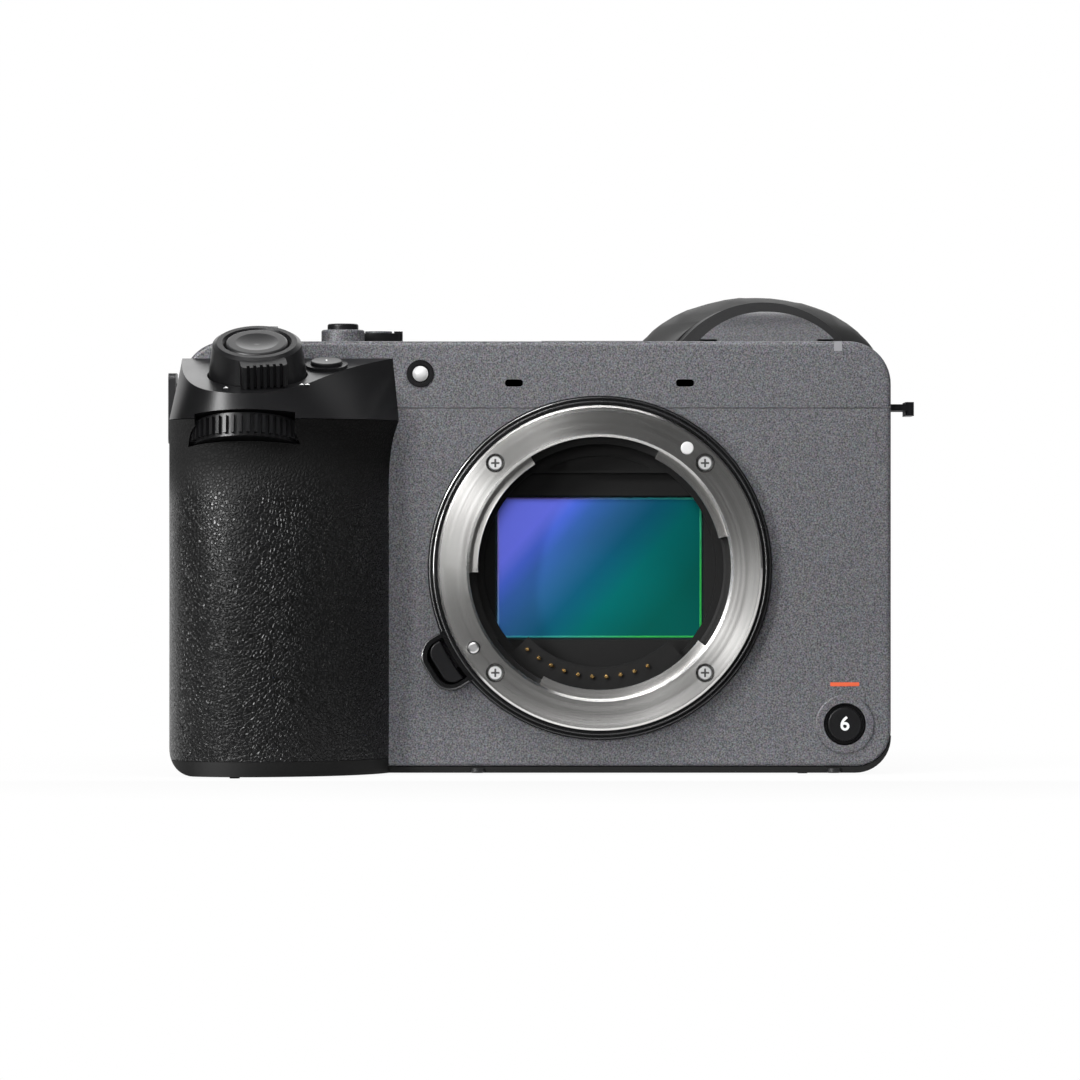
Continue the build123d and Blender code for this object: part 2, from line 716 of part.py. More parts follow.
def front_dial():
    wheel = ribbed_wheel(dial_radius, dial_thickness, dial_ribs, dial_pin + pin_gap, dial_groove,
                         dial_gap_share)
    return dial_frame * wheel


def custom_button():
    button = Pos(0, 0, -1.2) * extrude(Circle(custom_radius), 2.4)
    return custom_frame() * fillet(button.edges().group_by(Axis.Z)[-1], 0.3)


def rear_dial():
    wheel = ribbed_wheel(rear_dial_radius, rear_dial_width, rear_dial_ribs, dial_pin + pin_gap)
    return rear_dial_frame * wheel


def top_button():
    button = prism_z(disc(top_button_place, top_button_radius), roof_z - 0.9,
                     body_height + top_boss_height + 1.1)
    return fillet(button.edges().group_by(Axis.Z)[-1], 0.4)


def mode_lever():
    """A flat collar under the fixed cap, with a raised rim and a pointer to push."""
    low, high = body_height + 0.12, body_height + 1.1
    ring = prism_z(disc(mode_place, mode_radius) - disc(mode_place, dial_pin + pin_gap), low, high)
    rim = disc(mode_place, mode_radius) - disc(mode_place, mode_cap_radius + near_gap)
    rim = prism_z(rim, low, body_height + 1.9)
    x, y = mode_place
    knob = block((x + mode_cap_radius + near_gap + 0.1, x + mode_radius + 0.2), (y - 0.9, y + 0.9),
                 (low, body_height + 2.3))
    return ring + rim + knob


# Lens mount

def mount_screw_places():
    return [polar(screw_circle, 45 + 90 * i) for i in range(4)]


def mount_ring():
    ring = prism_y(on_mount(Circle(ring_radius)), mount_face_y, ring_back)
    ring = chamfer(ring.faces().sort_by(Axis.Y)[0].outer_wire().edges(), 0.35)
    part = ring - prism_y(on_mount(Circle(ring_bore)), mount_face_y, ring_back)
    bore_edge = part.faces().sort_by(Axis.Y)[0].inner_wires()[0].edges()
    part = chamfer(bore_edge, 0.45)
    for a_from, a_to in tab_spans:
        part += prism_y(on_mount(sector(tab_radius, ring_bore + 0.3, a_from, a_to)),
                        mount_face_y + tab_setback, ring_back)
    for place in mount_screw_places():
        part -= prism_y(disc(place, screw_head_radius + slide_gap), mount_face_y - 1, mount_face_y + 1.2)
        part -= prism_y(disc(place, screw_shank_radius + 0.1), mount_face_y, ring_back + 1)
    part -= prism_y(disc(polar(index_circle, index_angle), index_radius + 0.02), mount_face_y - 1,
                    mount_face_y + 0.9)
    part -= prism_y(disc(polar(lock_circle, lock_angle), lock_radius + slide_gap), mount_face_y - 1,
                    ring_back + 1)
    return part


def mount_screws():
    screws = []
    for place in mount_screw_places():
        head = prism_y(disc(place, screw_head_radius), mount_face_y + 0.25, mount_face_y + 1.2)
        head = chamfer(head.faces().sort_by(Axis.Y)[0].edges(), 0.25)
        screws.append(head + prism_y(disc(place, screw_shank_radius), mount_face_y + 1.1, ring_back + 5))
    return screws


def index_dot():
    place = polar(index_circle, index_angle)
    plug = prism_y(disc(place, index_radius), mount_face_y - 0.25, mount_face_y + 0.9)
    return fillet(plug.faces().sort_by(Axis.Y)[0].edges(), 0.24)


def mount_surround():
    proud = front_y - surround_proud
    bore = Circle(ring_radius + 0.15)
    part = prism_y(on_mount(Circle(surround_radius) - bore), proud + 0.8, inner_front)
    part += prism_y(on_mount(Circle(surround_radius - 0.7) - bore), proud, proud + 0.9)
    rim = release_shape(release_rim_reach, release_rim_half, release_corner, ring_radius + 0.15)
    rim = prism_y(rim, proud + 0.4, front_y)
    rim = chamfer(rim.faces().sort_by(Axis.Y)[0].outer_wire().edges().filter_by(GeomType.LINE), 0.15)
    return part + (rim - prism_y(release_pocket(), proud, front_y + 1))


def release_button():
    shape = release_shape(release_reach, release_half, release_corner - 1.6, release_inner)
    button = prism_y(shape, front_y - 2.4, inner_front + 1.4)
    return fillet(button.faces().sort_by(Axis.Y)[0].outer_wire().edges(), 0.3)


def lock_pin():
    pin = prism_y(disc(polar(lock_circle, lock_angle), lock_radius), mount_face_y - 1.1,
                  inner_front + chassis_thickness)
    return chamfer(pin.faces().sort_by(Axis.Y)[0].edges(), 0.3)


def throat_liner():
    rear = shutter_y - 0.1
    outer = throat_radius + throat_wall
    part = prism_y(on_mount(Circle(outer) - Circle(throat_radius)), ring_back + 0.1, rear)
    opening = Circle(21.0) & Pos(0, -4.4) * Rectangle(60, 43)
    baffle = prism_y(on_mount(Circle(throat_radius + 0.5) - opening), rear - 2.4, rear)
    arch = sector(0.01, 20.2, 63.0, 117.0) - Rectangle(60, 2 * 17.6)
    return part + baffle - prism_y(on_mount(arch), rear - 3, rear - 1.6)


def contact_block():
    face_y = mount_face_y + contact_setback
    shape = on_mount(sector(contact_inner, throat_radius - 0.02, *contact_span))
    return prism_y(shape, face_y, shutter_y - 2.55)


def contact_pins():
    face_y = mount_face_y + contact_setback
    pins = []
    for i in range(contact_pin_count):
        place = polar(contact_pin_circle, contact_pin_first + i * contact_pin_pitch)
        pin = prism_y(disc(place, contact_pin_radius), face_y - 0.7, face_y)
        pins.append(chamfer(pin.faces().sort_by(Axis.Y)[0].edges(), 0.15))
    return pins


# Inside the body

def around_axis(size, grow=0.0):
    return on_mount(Rectangle(size[0] + 2 * grow, size[1] + 2 * grow))


def chassis():
    """Front plate, the box behind it for shutter and stabiliser, and the tripod block."""
    back = inner_front + chassis_thickness
    part = prism_y(plate((-chassis_left, chassis_right), (floor_z, chassis_top), 3.0), inner_front, back)
    part += prism_y(on_mount(Circle(ring_radius - 0.1)), ring_back, inner_front)
    box_outer = around_axis(chamber_size, 1.5)
    box_inner = around_axis(chamber_size)
    part += prism_y(box_outer - box_inner, back, board_y)
    part += block((-9, 9), (-9, board_y), (floor_z, mount_z - chamber_size[1] / 2 - 0.3))
    part += block((-9, 9), (-9, 9), (floor_z, socket_depth + 0.2))
    part -= prism_y(on_mount(Circle(throat_radius + throat_wall + 0.1)), ring_back - 1, back + 1)
    part -= prism_y(release_pocket(0.05), inner_front - 0.01, back + 1)
    for place in mount_screw_places():
        part -= prism_y(disc(place, screw_shank_radius + 0.05), ring_back - 1, back + 1)
    part -= prism_y(disc(polar(lock_circle, lock_angle), lock_radius + slide_gap), ring_back - 1, back + 1)
    part -= prism_z(Circle(socket_radius + 0.05), 0, socket_depth + 0.05)
    insert_low = body_height - insert_depth - near_gap
    for place in top_threads:
        part -= prism_z(disc(place, insert_radius + near_gap), insert_low, body_height)
    return part


def shutter_frame():
    rear = shutter_y + shutter_thickness
    part = prism_y(around_axis(shutter_size), shutter_y, rear)
    window_low = mount_z - shutter_window[1] / 2
    cavity = plate((-blade_width / 2 - 0.4, blade_width / 2 + 0.4),
                   (window_low - blade_height - 0.5, window_low + shutter_window[1] + 0.6))
    part -= prism_y(cavity, shutter_y + 1.0, rear - 1.0)
    part -= prism_y(around_axis(shutter_window), shutter_y - 1, rear + 1)
    for x in (-26.0, 26.0):
        part -= prism_y(plate((x - 3, x + 3), (mount_z - 18, mount_z + 18), 1.5), shutter_y - 1, rear + 1)
    return part


def shutter_blade(order):
    low = mount_z - shutter_window[1] / 2 - blade_height - 0.1
    front = shutter_y + 1.3 + order * (blade_thickness + 0.4)
    return prism_y(plate((-blade_width / 2, blade_width / 2), (low, low + blade_height), 1.0), front,
                   front + blade_thickness)


def stabiliser_frame():
    window = on_mount(Rectangle(package_size[0] + 2 * (stabiliser_travel + near_gap),
                                package_size[1] + 2 * near_gap))
    ring = on_mount(RectangleRounded(*stabiliser_size, 3.0)) - window
    coils = [on_mount(Pos(x, z) * RectangleRounded(7.0, 16.0, 2.0))
             for x in (-27.0, 27.0) for z in (-10.0, 10.0)]
    part = prism_y(ring, package_y, package_y + stabiliser_thickness)
    return part - prism_y(Sketch() + coils, package_y + 1.6, package_y + 9)


def sensor():
    part = prism_y(on_mount(RectangleRounded(*package_size, 1.0)), package_y, package_y + package_thickness)
    part -= prism_y(around_axis(active_size, 0.25), package_y - 1, sensor_y)
    fin = prism_y(around_axis((30.0, 20.0)), package_y + package_thickness,
                  package_y + package_thickness + 1.2)
    return part + fin


def sensor_glass():
    outline = on_mount(Rectangle(*glass_size))
    glass = prism_y(chamfer(outline.vertices(), 0.8), glass_y, package_y)
    return chamfer(glass.faces().sort_by(Axis.Y)[0].outer_wire().edges(), 0.25)


def main_board():
    rear = board_y + board_thickness
    across = (-chassis_left - board_margin, chassis_right + board_margin)
    part = prism_y(plate(across, (socket_depth + 0.4, chassis_top - board_margin), 1.5), board_y, rear)
    for x, z, wide, high, tall in board_chips:
        part += prism_y(Pos(x, z) * Rectangle(wide, high), rear - 0.05, rear + tall)
    return part


def fan_rotor():
    """Hub and swept blades on the pin behind the monitor's intake."""
    low, high = rear_y - 7.2, rear_y - wall - 0.5
    hub = disc(fan_place, fan_hub)
    part = prism_y(hub, low, high)
    inner, outer = fan_hub - 0.6, fan_radius
    for i in range(fan_blades):
        turn = 360 / fan_blades * i
        start = (inner * math.cos(math.radians(turn)), inner * math.sin(math.radians(turn)))
        bend = ((inner + outer) / 2 * math.cos(math.radians(turn + 10)),
                (inner + outer) / 2 * math.sin(math.radians(turn + 10)))
        tip = (outer * math.cos(math.radians(turn + 32)), outer * math.sin(math.radians(turn + 32)))
        blade = trace(ThreePointArc(start, bend, tip), 0.8)
        part += prism_y(Pos(*fan_place) * blade, low + 0.4, high - 0.4)
    part &= prism_y(disc(fan_place, outer), low, high)
    return part - prism_y(disc(fan_place, fan_pin + pin_gap), low - 1, high + 1)


def battery():
    part = block(battery_x, battery_y, (battery_z, battery_top))
    part = fillet(part.edges().filter_by(Axis.Z), battery_corner)
    part = fillet(part.edges().group_by(Axis.Z)[0], 1.0)
    for i in range(3):
        x = battery_x[0] + 7.5 + 3.6 * i
        part -= block((x, x + 1.4), (battery_y[1] - 7, battery_y[1] + 1), (battery_top - 3, battery_top + 1))
    return part


def battery_door():
    gap = slide_gap
    x = (battery_x[0] - bay_margin + gap, bay_right + 0.9)
    y = (battery_y[0] - bay_margin + gap, battery_y[1] + bay_margin - gap)
    low = foot_height + 0.05
    part = block((x[0], bay_right - battery_door_edge), y, (low, low + 1.0))
    part += block((x[0] + 1.5, bay_right - 4), (y[0] + 1.5, y[1] - 1.5), (low + 1.0, battery_z - near_gap))
    span = (battery_y[0] + 3 + gap, battery_y[1] - 3 - gap)
    part += block((bay_right - 1, x[1]), span, (battery_hinge_z() - 0.75, battery_hinge_z() + 0.2))
    part += prism_y(disc((x[1], battery_hinge_z()), 0.78), *span)
    part -= prism_y(disc((x[1], battery_hinge_z()), 0.4 + pin_gap), battery_y[0], battery_y[1])
    part -= latch_slot()
    return part


def latch_slot():
    """Rectangular window in the battery door that the latch slides in."""
    high = battery_z - near_gap - 0.8
    window = block((-69.0, -61.0), (-9.0, -1.0), (-1, high))
    return window + block((-70.2, -59.8), (-10.2, 0.2), (foot_height + 0.75, high))


def battery_latch():
    low = foot_height + 0.1
    thumb = block((-68.8, -61.2), (-6.8, -1.2), (low, foot_height + 1.0))
    foot = block((-70.0, -60.0), (-8.0, 0.0), (foot_height + 0.95, battery_z - near_gap - 1.0))
    ribs = [block((-68.8, -61.2), (y, y + 0.5), (low - 0.2, low + 0.2)) for y in (-5.8, -4.4, -3.0)]
    return thumb + foot + ribs


def card_reader():
    width, deep, tall = card_block
    x = (inner_left + near_gap, inner_left + near_gap + width)
    part = block(x, (card_block_y, card_block_y + deep), (card_block_z, card_block_z + tall))
    middle = card_block_z + tall / 2
    for y in (card_block_y + 2.6, card_block_y + 7.4):
        part -= block((x[0] - 1, x[0] + 24), (y - card_slot[0] / 2, y + card_slot[0] / 2),
                      (middle - card_slot[1] / 2, middle + card_slot[1] / 2))
    return part


def card_door():
    part = side_door(-1, card_axis_x, card_door_y[1], card_door_z, card_door_y[0])
    return part - block((-body_left - 1, -body_left + 0.4), (card_door_y[0] + 1.0, card_door_y[0] + 2.6),
                        (card_door_z[0] + 13, card_door_z[1] - 13))


def port_door(name):
    return side_door(1, inner_right + hinge_barrel, port_front, port_doors[name], port_front + port_length)


def port_connectors():
    """A block of sockets behind the two doors."""
    upper, lower = port_doors["port_door_upper"], port_doors["port_door_lower"]
    high, low = sum(upper) / 2, sum(lower) / 2
    front = port_front + 10.3
    outer = inner_right - near_gap
    mouth = outer - 5.5
    part = block((inner_right - 7.5, outer), (port_front + 2.0, port_front + port_length - 1.5),
                 (lower[0] + 0.5, upper[1] - 0.5))
    part -= block((outer - 1.0, outer + 1), (port_front + 3, port_front + port_length - 2.5),
                  (lower[1] + 0.4, upper[0] - 0.4))
    part -= prism_x(Pos(front, high) * RectangleRounded(5.6, 14.2, 0.8), mouth, outer + 1)
    part += block((mouth - 0.5, outer - 1.2), (front - 0.9, front + 0.9), (high - 5.5, high + 5.5))
    for z in (high + 4.5, high - 4.5):
        part -= prism_x(disc((front + 9.0, z), 1.8), mouth, outer + 1)
    part -= prism_x(Pos(front, low + 1.0) * SlotOverall(9.2, 3.3, rotation=90), mouth, outer + 1)
    part += block((mouth - 0.5, outer - 0.8), (front - 0.35, front + 0.35), (low - 2.1, low + 4.1))
    part -= prism_x(Pos(front + 11.0, low) * RectangleRounded(4.0, 8.4, 0.8), mouth, outer + 1)
    return part


# Viewfinder

def finder_outline(top, arch, half):
    """Front view: an arch over straight sides."""
    across = (finder_x - half, finder_x + half)
    sides = plate(across, (finder_bottom, top + 1), 3.0)
    low = plate(across, (finder_bottom, top - arch), 3.0)
    return (disc((finder_x, top - arch), arch) + low) & sides


def finder_side_view():
    """Side view: nose rounded about the pivot, front face falling back, level top."""
    y, z = finder_pivot
    nose = finder_top - z
    start = (y - nose, z)
    arc = ThreePointArc(start, (y - nose * math.sin(math.pi / 4), z + nose * math.cos(math.pi / 4)),
                        (y, finder_top))
    rest = Polyline((y, finder_top), (finder_rear, finder_top), (finder_rear, finder_bottom),
                    (y + 3, finder_bottom), start)
    return make_face([arc, rest])


def finder_ears():
    """X spans of the bracket's two ears."""
    middles = (finder_x - finder_ear_inset, finder_x + finder_ear_inset)
    return [(x - finder_ear_width / 2, x + finder_ear_width / 2) for x in middles]


def evf_hinge():
    y, z = finder_pivot
    part = Part()
    for span in finder_ears():
        upright = plate((y - finder_ear_half, y + finder_ear_half), (recess_floor, z))
        part += prism_x(disc((y, z), finder_ear_half) + upright, *span)
    spans = finder_ears()
    return part + prism_x(disc((y, z), finder_pin_radius), spans[0][0], spans[1][1])


def evf_housing():
    y, z = finder_pivot
    front = finder_outline(finder_top, finder_arch, finder_front_half)
    band = finder_outline(body_height + finder_band_rise, finder_band_arch, finder_half)
    part = prism_y(front, -10, finder_rear) & prism_x(finder_side_view(), 0, 60)
    part += prism_y(band, finder_band_y, finder_rear)
    for low, high in finder_ears():
        part -= block((low - near_gap, high + near_gap), (-10, y + finder_ear_half + near_gap),
                      (finder_bottom - 1, z + finder_ear_half + near_gap))
    between_ears = block((finder_ears()[0][0], finder_ears()[1][1]), (0, 40), (60, 90))
    part -= prism_x(disc((y, z), finder_pin_radius + pin_gap), 0, 60) & between_ears
    part -= prism_y(disc(eyepiece, eyepiece_radius), finder_rear - 9, finder_rear + 1)
    part -= prism_y(plate((eyepiece[0] - 7, eyepiece[0] + 7), (eyepiece[1] - 5, eyepiece[1] + 5)),
                    finder_rear - 15, finder_rear)
    part -= prism_x(disc(diopter_place, 1.2 + pin_gap), finder_x - finder_half - 1,
                    finder_x - finder_half + 3)
    part -= prism_x(disc(diopter_place, diopter_radius + near_gap), finder_x - finder_half - 1,
                    finder_x - finder_half + 0.9)
    return part


def diopter_dial():
    x = finder_x - finder_half
    plane = Plane(origin=(x - 0.3, *diopter_place), x_dir=(0, 1, 0), z_dir=(1, 0, 0))
    wheel = plane * ribbed_wheel(diopter_radius, 1.9, 24, 0.3)
    return wheel + prism_x(disc(diopter_place, 1.2), x - 1.0, x + 2.8)


def eyepiece_lens():
    lens = prism_y(disc(eyepiece, eyepiece_radius - 0.05), finder_rear - 3.0, finder_rear + 0.5)
    dome = Pos(eyepiece[0], finder_rear - 22.0, eyepiece[1]) * Sphere(23.6)
    return lens + (prism_y(disc(eyepiece, eyepiece_radius - 1), finder_rear, finder_rear + 4) & dome)


def cup_ellipse(y, size):
    plane = Plane(origin=(eyepiece[0], y, eyepiece[1]), x_dir=(1, 0, 0), z_dir=(0, -1, 0))
    return plane * Ellipse(*size)


def eyecup():
    """Rubber cup that flares from the housing to a wide soft rim."""
    front, rear = finder_rear, finder_rear + cup_depth
    stem = (cup_base[0], cup_base[1])
    waist = (cup_base[0] + 0.9, cup_base[1] + 0.2)
    outer = loft([cup_ellipse(front, stem), cup_ellipse(front + 3.5, waist)])
    outer += loft([cup_ellipse(front + 3.5, waist),
                   cup_ellipse(front + 7.5, (cup_rim[0] - 0.8, cup_rim[1] - 0.5)),
                   cup_ellipse(rear - 1.4, cup_rim), cup_ellipse(rear, (cup_rim[0] - 1.6, cup_rim[1] - 1.4))])
    inner = loft([cup_ellipse(front + 1.8, (12.5, 10.5)), cup_ellipse(front + 7.0, (18.0, 12.5)),
                  cup_ellipse(rear + 0.5, (20.3, 14.2))])
    return outer - inner - prism_y(disc(eyepiece, eyepiece_radius + 0.3), front - 1, front + 3)


# Monitor

def lcd_hinge():
    x, y = monitor_axis
    low, high = monitor_ear_low[1] + near_gap, monitor_ear_high[0] - near_gap
    part = prism_z(disc((x, y), monitor_barrel), low, high)
    part += block((x - 8.0, x), (y - 2.2, y + 2.2), (low + 0.6, high - 0.6))
    return part - prism_z(disc((x, y), monitor_pin + pin_gap), low - 1, high + 1)


def lcd_panel():
    low, high = monitor_ear_low[1] + near_gap, monitor_ear_high[0] - near_gap
    x, y = monitor_axis
    part = prism_y(plate((-monitor_left, monitor_right), (monitor_low, monitor_high), 4.0), monitor_y,
                   monitor_rear)
    part = fillet(part.faces().sort_by(Axis.Y)[-1].outer_wire().edges(), 1.0)
    part = fillet(part.faces().sort_by(Axis.Y)[0].outer_wire().edges(), 0.6)
    part -= block((x - 8.0, x), (y - 2.2, y + 2.2), (low + 0.6, high - 0.6))
    return part - prism_y(monitor_window(), monitor_rear - 0.9, monitor_rear + 1)


def monitor_window():
    x = (monitor_right - monitor_left) / 2
    z = (monitor_low + monitor_high) / 2
    return Pos(x, z) * RectangleRounded(*monitor_glass, 1.5)


def lcd_glass():
    x = (monitor_right - monitor_left) / 2
    z = (monitor_low + monitor_high) / 2
    glass = Pos(x, z) * RectangleRounded(monitor_glass[0] - 0.2, monitor_glass[1] - 0.2, 1.4)
    return prism_y(glass, monitor_rear - 0.9, monitor_rear - 0.1)


# Front and rear buttons

def record_button():
    face = front_y - 0.3
    part = prism_y(disc(record_place, record_radius), face, front_y + 4.3)
    part = fillet(part.faces().sort_by(Axis.Y)[0].edges(), 0.25)
    return part + prism_y(disc(record_place, record_well - slide_gap), front_y + 1.4, front_y + 4.3)


def lamp_bezel():
    ring = prism_y(disc(lamp_place, lamp_bezel_radius) - disc(lamp_place, lamp_radius + 0.03),
                   front_y - 0.25, inner_front)
    return chamfer(ring.faces().sort_by(Axis.Y)[0].inner_wires()[0].edges(), 0.5)


def lamp_dome():
    x, z = lamp_place
    tube = prism_y(disc(lamp_place, lamp_radius), front_y, inner_front)
    cap = prism_y(disc(lamp_place, lamp_radius), front_y - 1, front_y)
    return tube + (cap & Pos(x, front_y + 0.8, z) * Sphere(1.55))


def tally_lamp():
    half = tally_size[0] / 2
    return block((tally_x - half, tally_x + half), (front_y, front_y + tally_size[2] - 0.05),
                 (body_height - tally_size[1], body_height))


def joystick():
    stem = prism_y(disc(joystick_place, joystick_stem), joystick_pivot_y, rear_y + 2.2)
    cap = prism_y(disc(joystick_place, joystick_cap), rear_y + 1.6, rear_y + 3.8)
    cap = fillet(cap.faces().sort_by(Axis.Y)[-1].edges(), 0.8)
    ball = Pos(joystick_place[0], joystick_pivot_y, joystick_place[1]) * Sphere(1.8)
    return stem + cap + ball


def control_wheel():
    plane = Plane(origin=(wheel_place[0], rear_y + 0.45, wheel_place[1]), x_dir=(1, 0, 0), z_dir=(0, -1, 0))
    wheel = plane * ribbed_wheel(wheel_radius, 2.5, wheel_ribs, wheel_bore)
    return wheel


def select_button():
    part = prism_y(disc(wheel_place, select_radius), inner_rear - 1.0, rear_y + 2.2)
    return fillet(part.faces().sort_by(Axis.Y)[-1].edges(), 0.4)


def rear_button(name):
    x, z, radius = rear_buttons[name]
    part = prism_y(disc((x, z), radius), inner_rear - 0.6, rear_y + 0.9)
    part = fillet(part.faces().sort_by(Axis.Y)[-1].edges(), 0.3)
    return part + prism_y(disc((x, z), radius + 0.7), inner_rear - 1.2, inner_rear - near_gap)


# Fittings

def accessory_shoe():
    """Channel with two inward lips, open to the rear."""
    top = body_height + 0.4
    slot_top = shoe_floor_z + shoe_slot_height
    part = block((-shoe_half - 1.2, shoe_half + 1.2), (shoe_front, shoe_rear), (shoe_floor_z - 0.8, top))
    part -= block((-shoe_slot_half, shoe_slot_half), (shoe_front + 1.2, shoe_rear + 1),
                  (shoe_floor_z, slot_top))
    part -= block((-shoe_mouth_half, shoe_mouth_half), (shoe_front + 1.2, shoe_rear + 1),
                  (shoe_floor_z, top + 1))
    return part


def strap_lugs():
    """A level eyelet on the port side and an upright one on the grip side."""
    outer = body_right + lug_reach
    level = block((inner_right - 1.2, inner_right), lug_right_y, (lug_arm_z[0] - 0.1, lug_arm_z[1] + 0.8))
    for y in lug_arm_y:
        level += block((inner_right - 0.5, outer - 0.2), (y + 0.05, y + lug_arm_width - 0.05),
                       (lug_arm_z[0] + 0.05, lug_arm_z[1] - 0.05))
    level += prism_z(plate((body_right + lug_window, outer), lug_right_y, 0.6), *lug_z)
    x_in = -body_left - lug_left_offset
    frame = plate(lug_left_y, lug_left_z, 1.2) - plate((lug_left_y[0] + 1.5, lug_left_y[1] - 1.5),
                                                       (lug_left_z[0] + 1.8, lug_left_z[1] - 1.8), 0.6)
    upright = prism_x(frame, x_in - lug_left_thickness, x_in)
    foot = block((x_in - 0.5, inner_left), (lug_left_y[0] + 1.3, lug_left_y[1] - 1.3),
                 (lug_left_z[0] + 0.1, lug_left_z[0] + 1.6))
    return [level, upright + foot]


def thread_inserts():
    inserts = []
    for place in top_threads:
        ring = disc(place, insert_radius - 0.02) - disc(place, thread_radius)
        inserts.append(prism_z(ring, body_height - insert_depth, body_height))
    inserts.append(prism_z(Circle(socket_radius - 0.02) - Circle(thread_radius), 0, socket_depth))
    return inserts


nodes = {
    "front_cover": front_cover, "rear_cover": rear_cover, "top_cover": top_cover, "base_plate": base_plate,
    "grip_skin": grip_skin, "grip_top": grip_top, "chassis": chassis, "mount_ring": mount_ring,
    "mount_surround": mount_surround, "mount_screws": mount_screws, "index_dot": index_dot,
    "throat_liner": throat_liner, "contact_block": contact_block, "contact_pins": contact_pins,
    "lock_pin": lock_pin, "release_button": release_button, "shutter_frame": shutter_frame,
    "shutter_blade_1": lambda: shutter_blade(0), "shutter_blade_2": lambda: shutter_blade(1),
    "stabiliser_frame": stabiliser_frame, "sensor": sensor, "sensor_glass": sensor_glass,
    "main_board": main_board, "fan_rotor": fan_rotor, "battery": battery, "battery_door": battery_door,
    "battery_latch": battery_latch, "card_reader": card_reader, "card_door": card_door,
    "evf_hinge": evf_hinge, "evf_housing": evf_housing, "eyecup": eyecup, "eyepiece_lens": eyepiece_lens,
    "diopter_dial": diopter_dial, "lcd_hinge": lcd_hinge, "lcd_panel": lcd_panel, "lcd_glass": lcd_glass,
    "zoom_lever": zoom_lever, "shutter_button": shutter_button, "front_dial": front_dial,
    "custom_button": custom_button, "rear_dial": rear_dial, "top_button": top_button,
    "mode_lever": mode_lever, "record_button": record_button, "lamp_bezel": lamp_bezel,
    "lamp_dome": lamp_dome, "tally_lamp": tally_lamp,
    "joystick": joystick, "control_wheel": control_wheel, "select_button": select_button,
    "menu_button": lambda: rear_button("menu_button"),
    "playback_button": lambda: rear_button("playback_button"),
    "delete_button": lambda: rear_button("delete_button"), "accessory_shoe": accessory_shoe,
    "strap_lugs": strap_lugs, "thread_inserts": thread_inserts, "port_connectors": port_connectors,
    "port_door_upper": lambda: port_door("port_door_upper"),
    "port_door_lower": lambda: port_door("port_door_lower"),
}

os.makedirs("parts", exist_ok=True)
for name, make in nodes.items():
    made = make()
    solids = [solid for piece in (made if isinstance(made, list) else [made]) for solid in piece.solids()]
    export_step(solids[0] if len(solids) == 1 else Compound(children=solids), f"parts/{name}.step")
    print(name, len(solids), round(sum(solid.volume for solid in solids), 1))
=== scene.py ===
import math
import bmesh
import bpy
from mathutils import Matrix, Vector


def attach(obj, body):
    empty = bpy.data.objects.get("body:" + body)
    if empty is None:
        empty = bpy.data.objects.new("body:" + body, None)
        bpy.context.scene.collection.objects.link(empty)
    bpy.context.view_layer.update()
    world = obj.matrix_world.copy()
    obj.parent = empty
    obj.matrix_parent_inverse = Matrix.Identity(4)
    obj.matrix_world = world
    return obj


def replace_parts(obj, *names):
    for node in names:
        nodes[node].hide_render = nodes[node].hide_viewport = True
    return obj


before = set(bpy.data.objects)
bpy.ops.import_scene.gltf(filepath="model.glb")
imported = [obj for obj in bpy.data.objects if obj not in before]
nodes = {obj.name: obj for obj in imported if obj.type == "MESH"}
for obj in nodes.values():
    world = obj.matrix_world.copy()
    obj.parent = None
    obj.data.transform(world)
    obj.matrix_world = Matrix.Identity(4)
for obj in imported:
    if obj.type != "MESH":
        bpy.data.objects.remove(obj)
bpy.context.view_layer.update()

# Places and sizes that follow the part's source, in metres
MM = 0.001
FRONT = -22.0 * MM
REAR = 26.0 * MM
TOP = 77.8 * MM
MOUNT_Z = 37.1 * MM
MOUNT_FACE = -26.0 * MM
THROAT = 22.6 * MM
SURROUND = 30.8 * MM
SCREW_CIRCLE = 26.55 * MM
SCREW_HEAD = 1.35 * MM
SCREW_SINK = 0.5 * MM
SCREW_PLACE = (SCREW_CIRCLE / math.sqrt(2), 0.0, SCREW_CIRCLE / math.sqrt(2))
GLASS_SIZE = (37.05 * MM, 25.4 * MM)
RECORD = (43.95 * MM, 9.03 * MM)
WHEEL = (-52.0 * MM, 36.0 * MM)
FINDER_BAND = 29.95 * MM
GROOVE = 53.0 * MM
THREAD = 3.175 * MM

# The same in millimetres, with angles in degrees
MODE = (-40.2, -3.5)
SHOULDER_FRONT, SHOULDER_HEIGHT, SLOPE = -22.0, 74.7, 15.6
RELEASE_ANGLE = 211.6

# Sizes of what only this scene makes, in metres
# Reach of the painted shade round each mount screw
SCREW_SHADE_REACH = 1.68 * MM
PRINT = 0.06 * MM
HALF_ROUND = [math.radians(turn) for turn in (-30, 0, 45, 90, 135, 180, 210)]

FLOAT, COLOUR, VECTOR = "NodeSocketFloat", "NodeSocketColor", "NodeSocketVector"


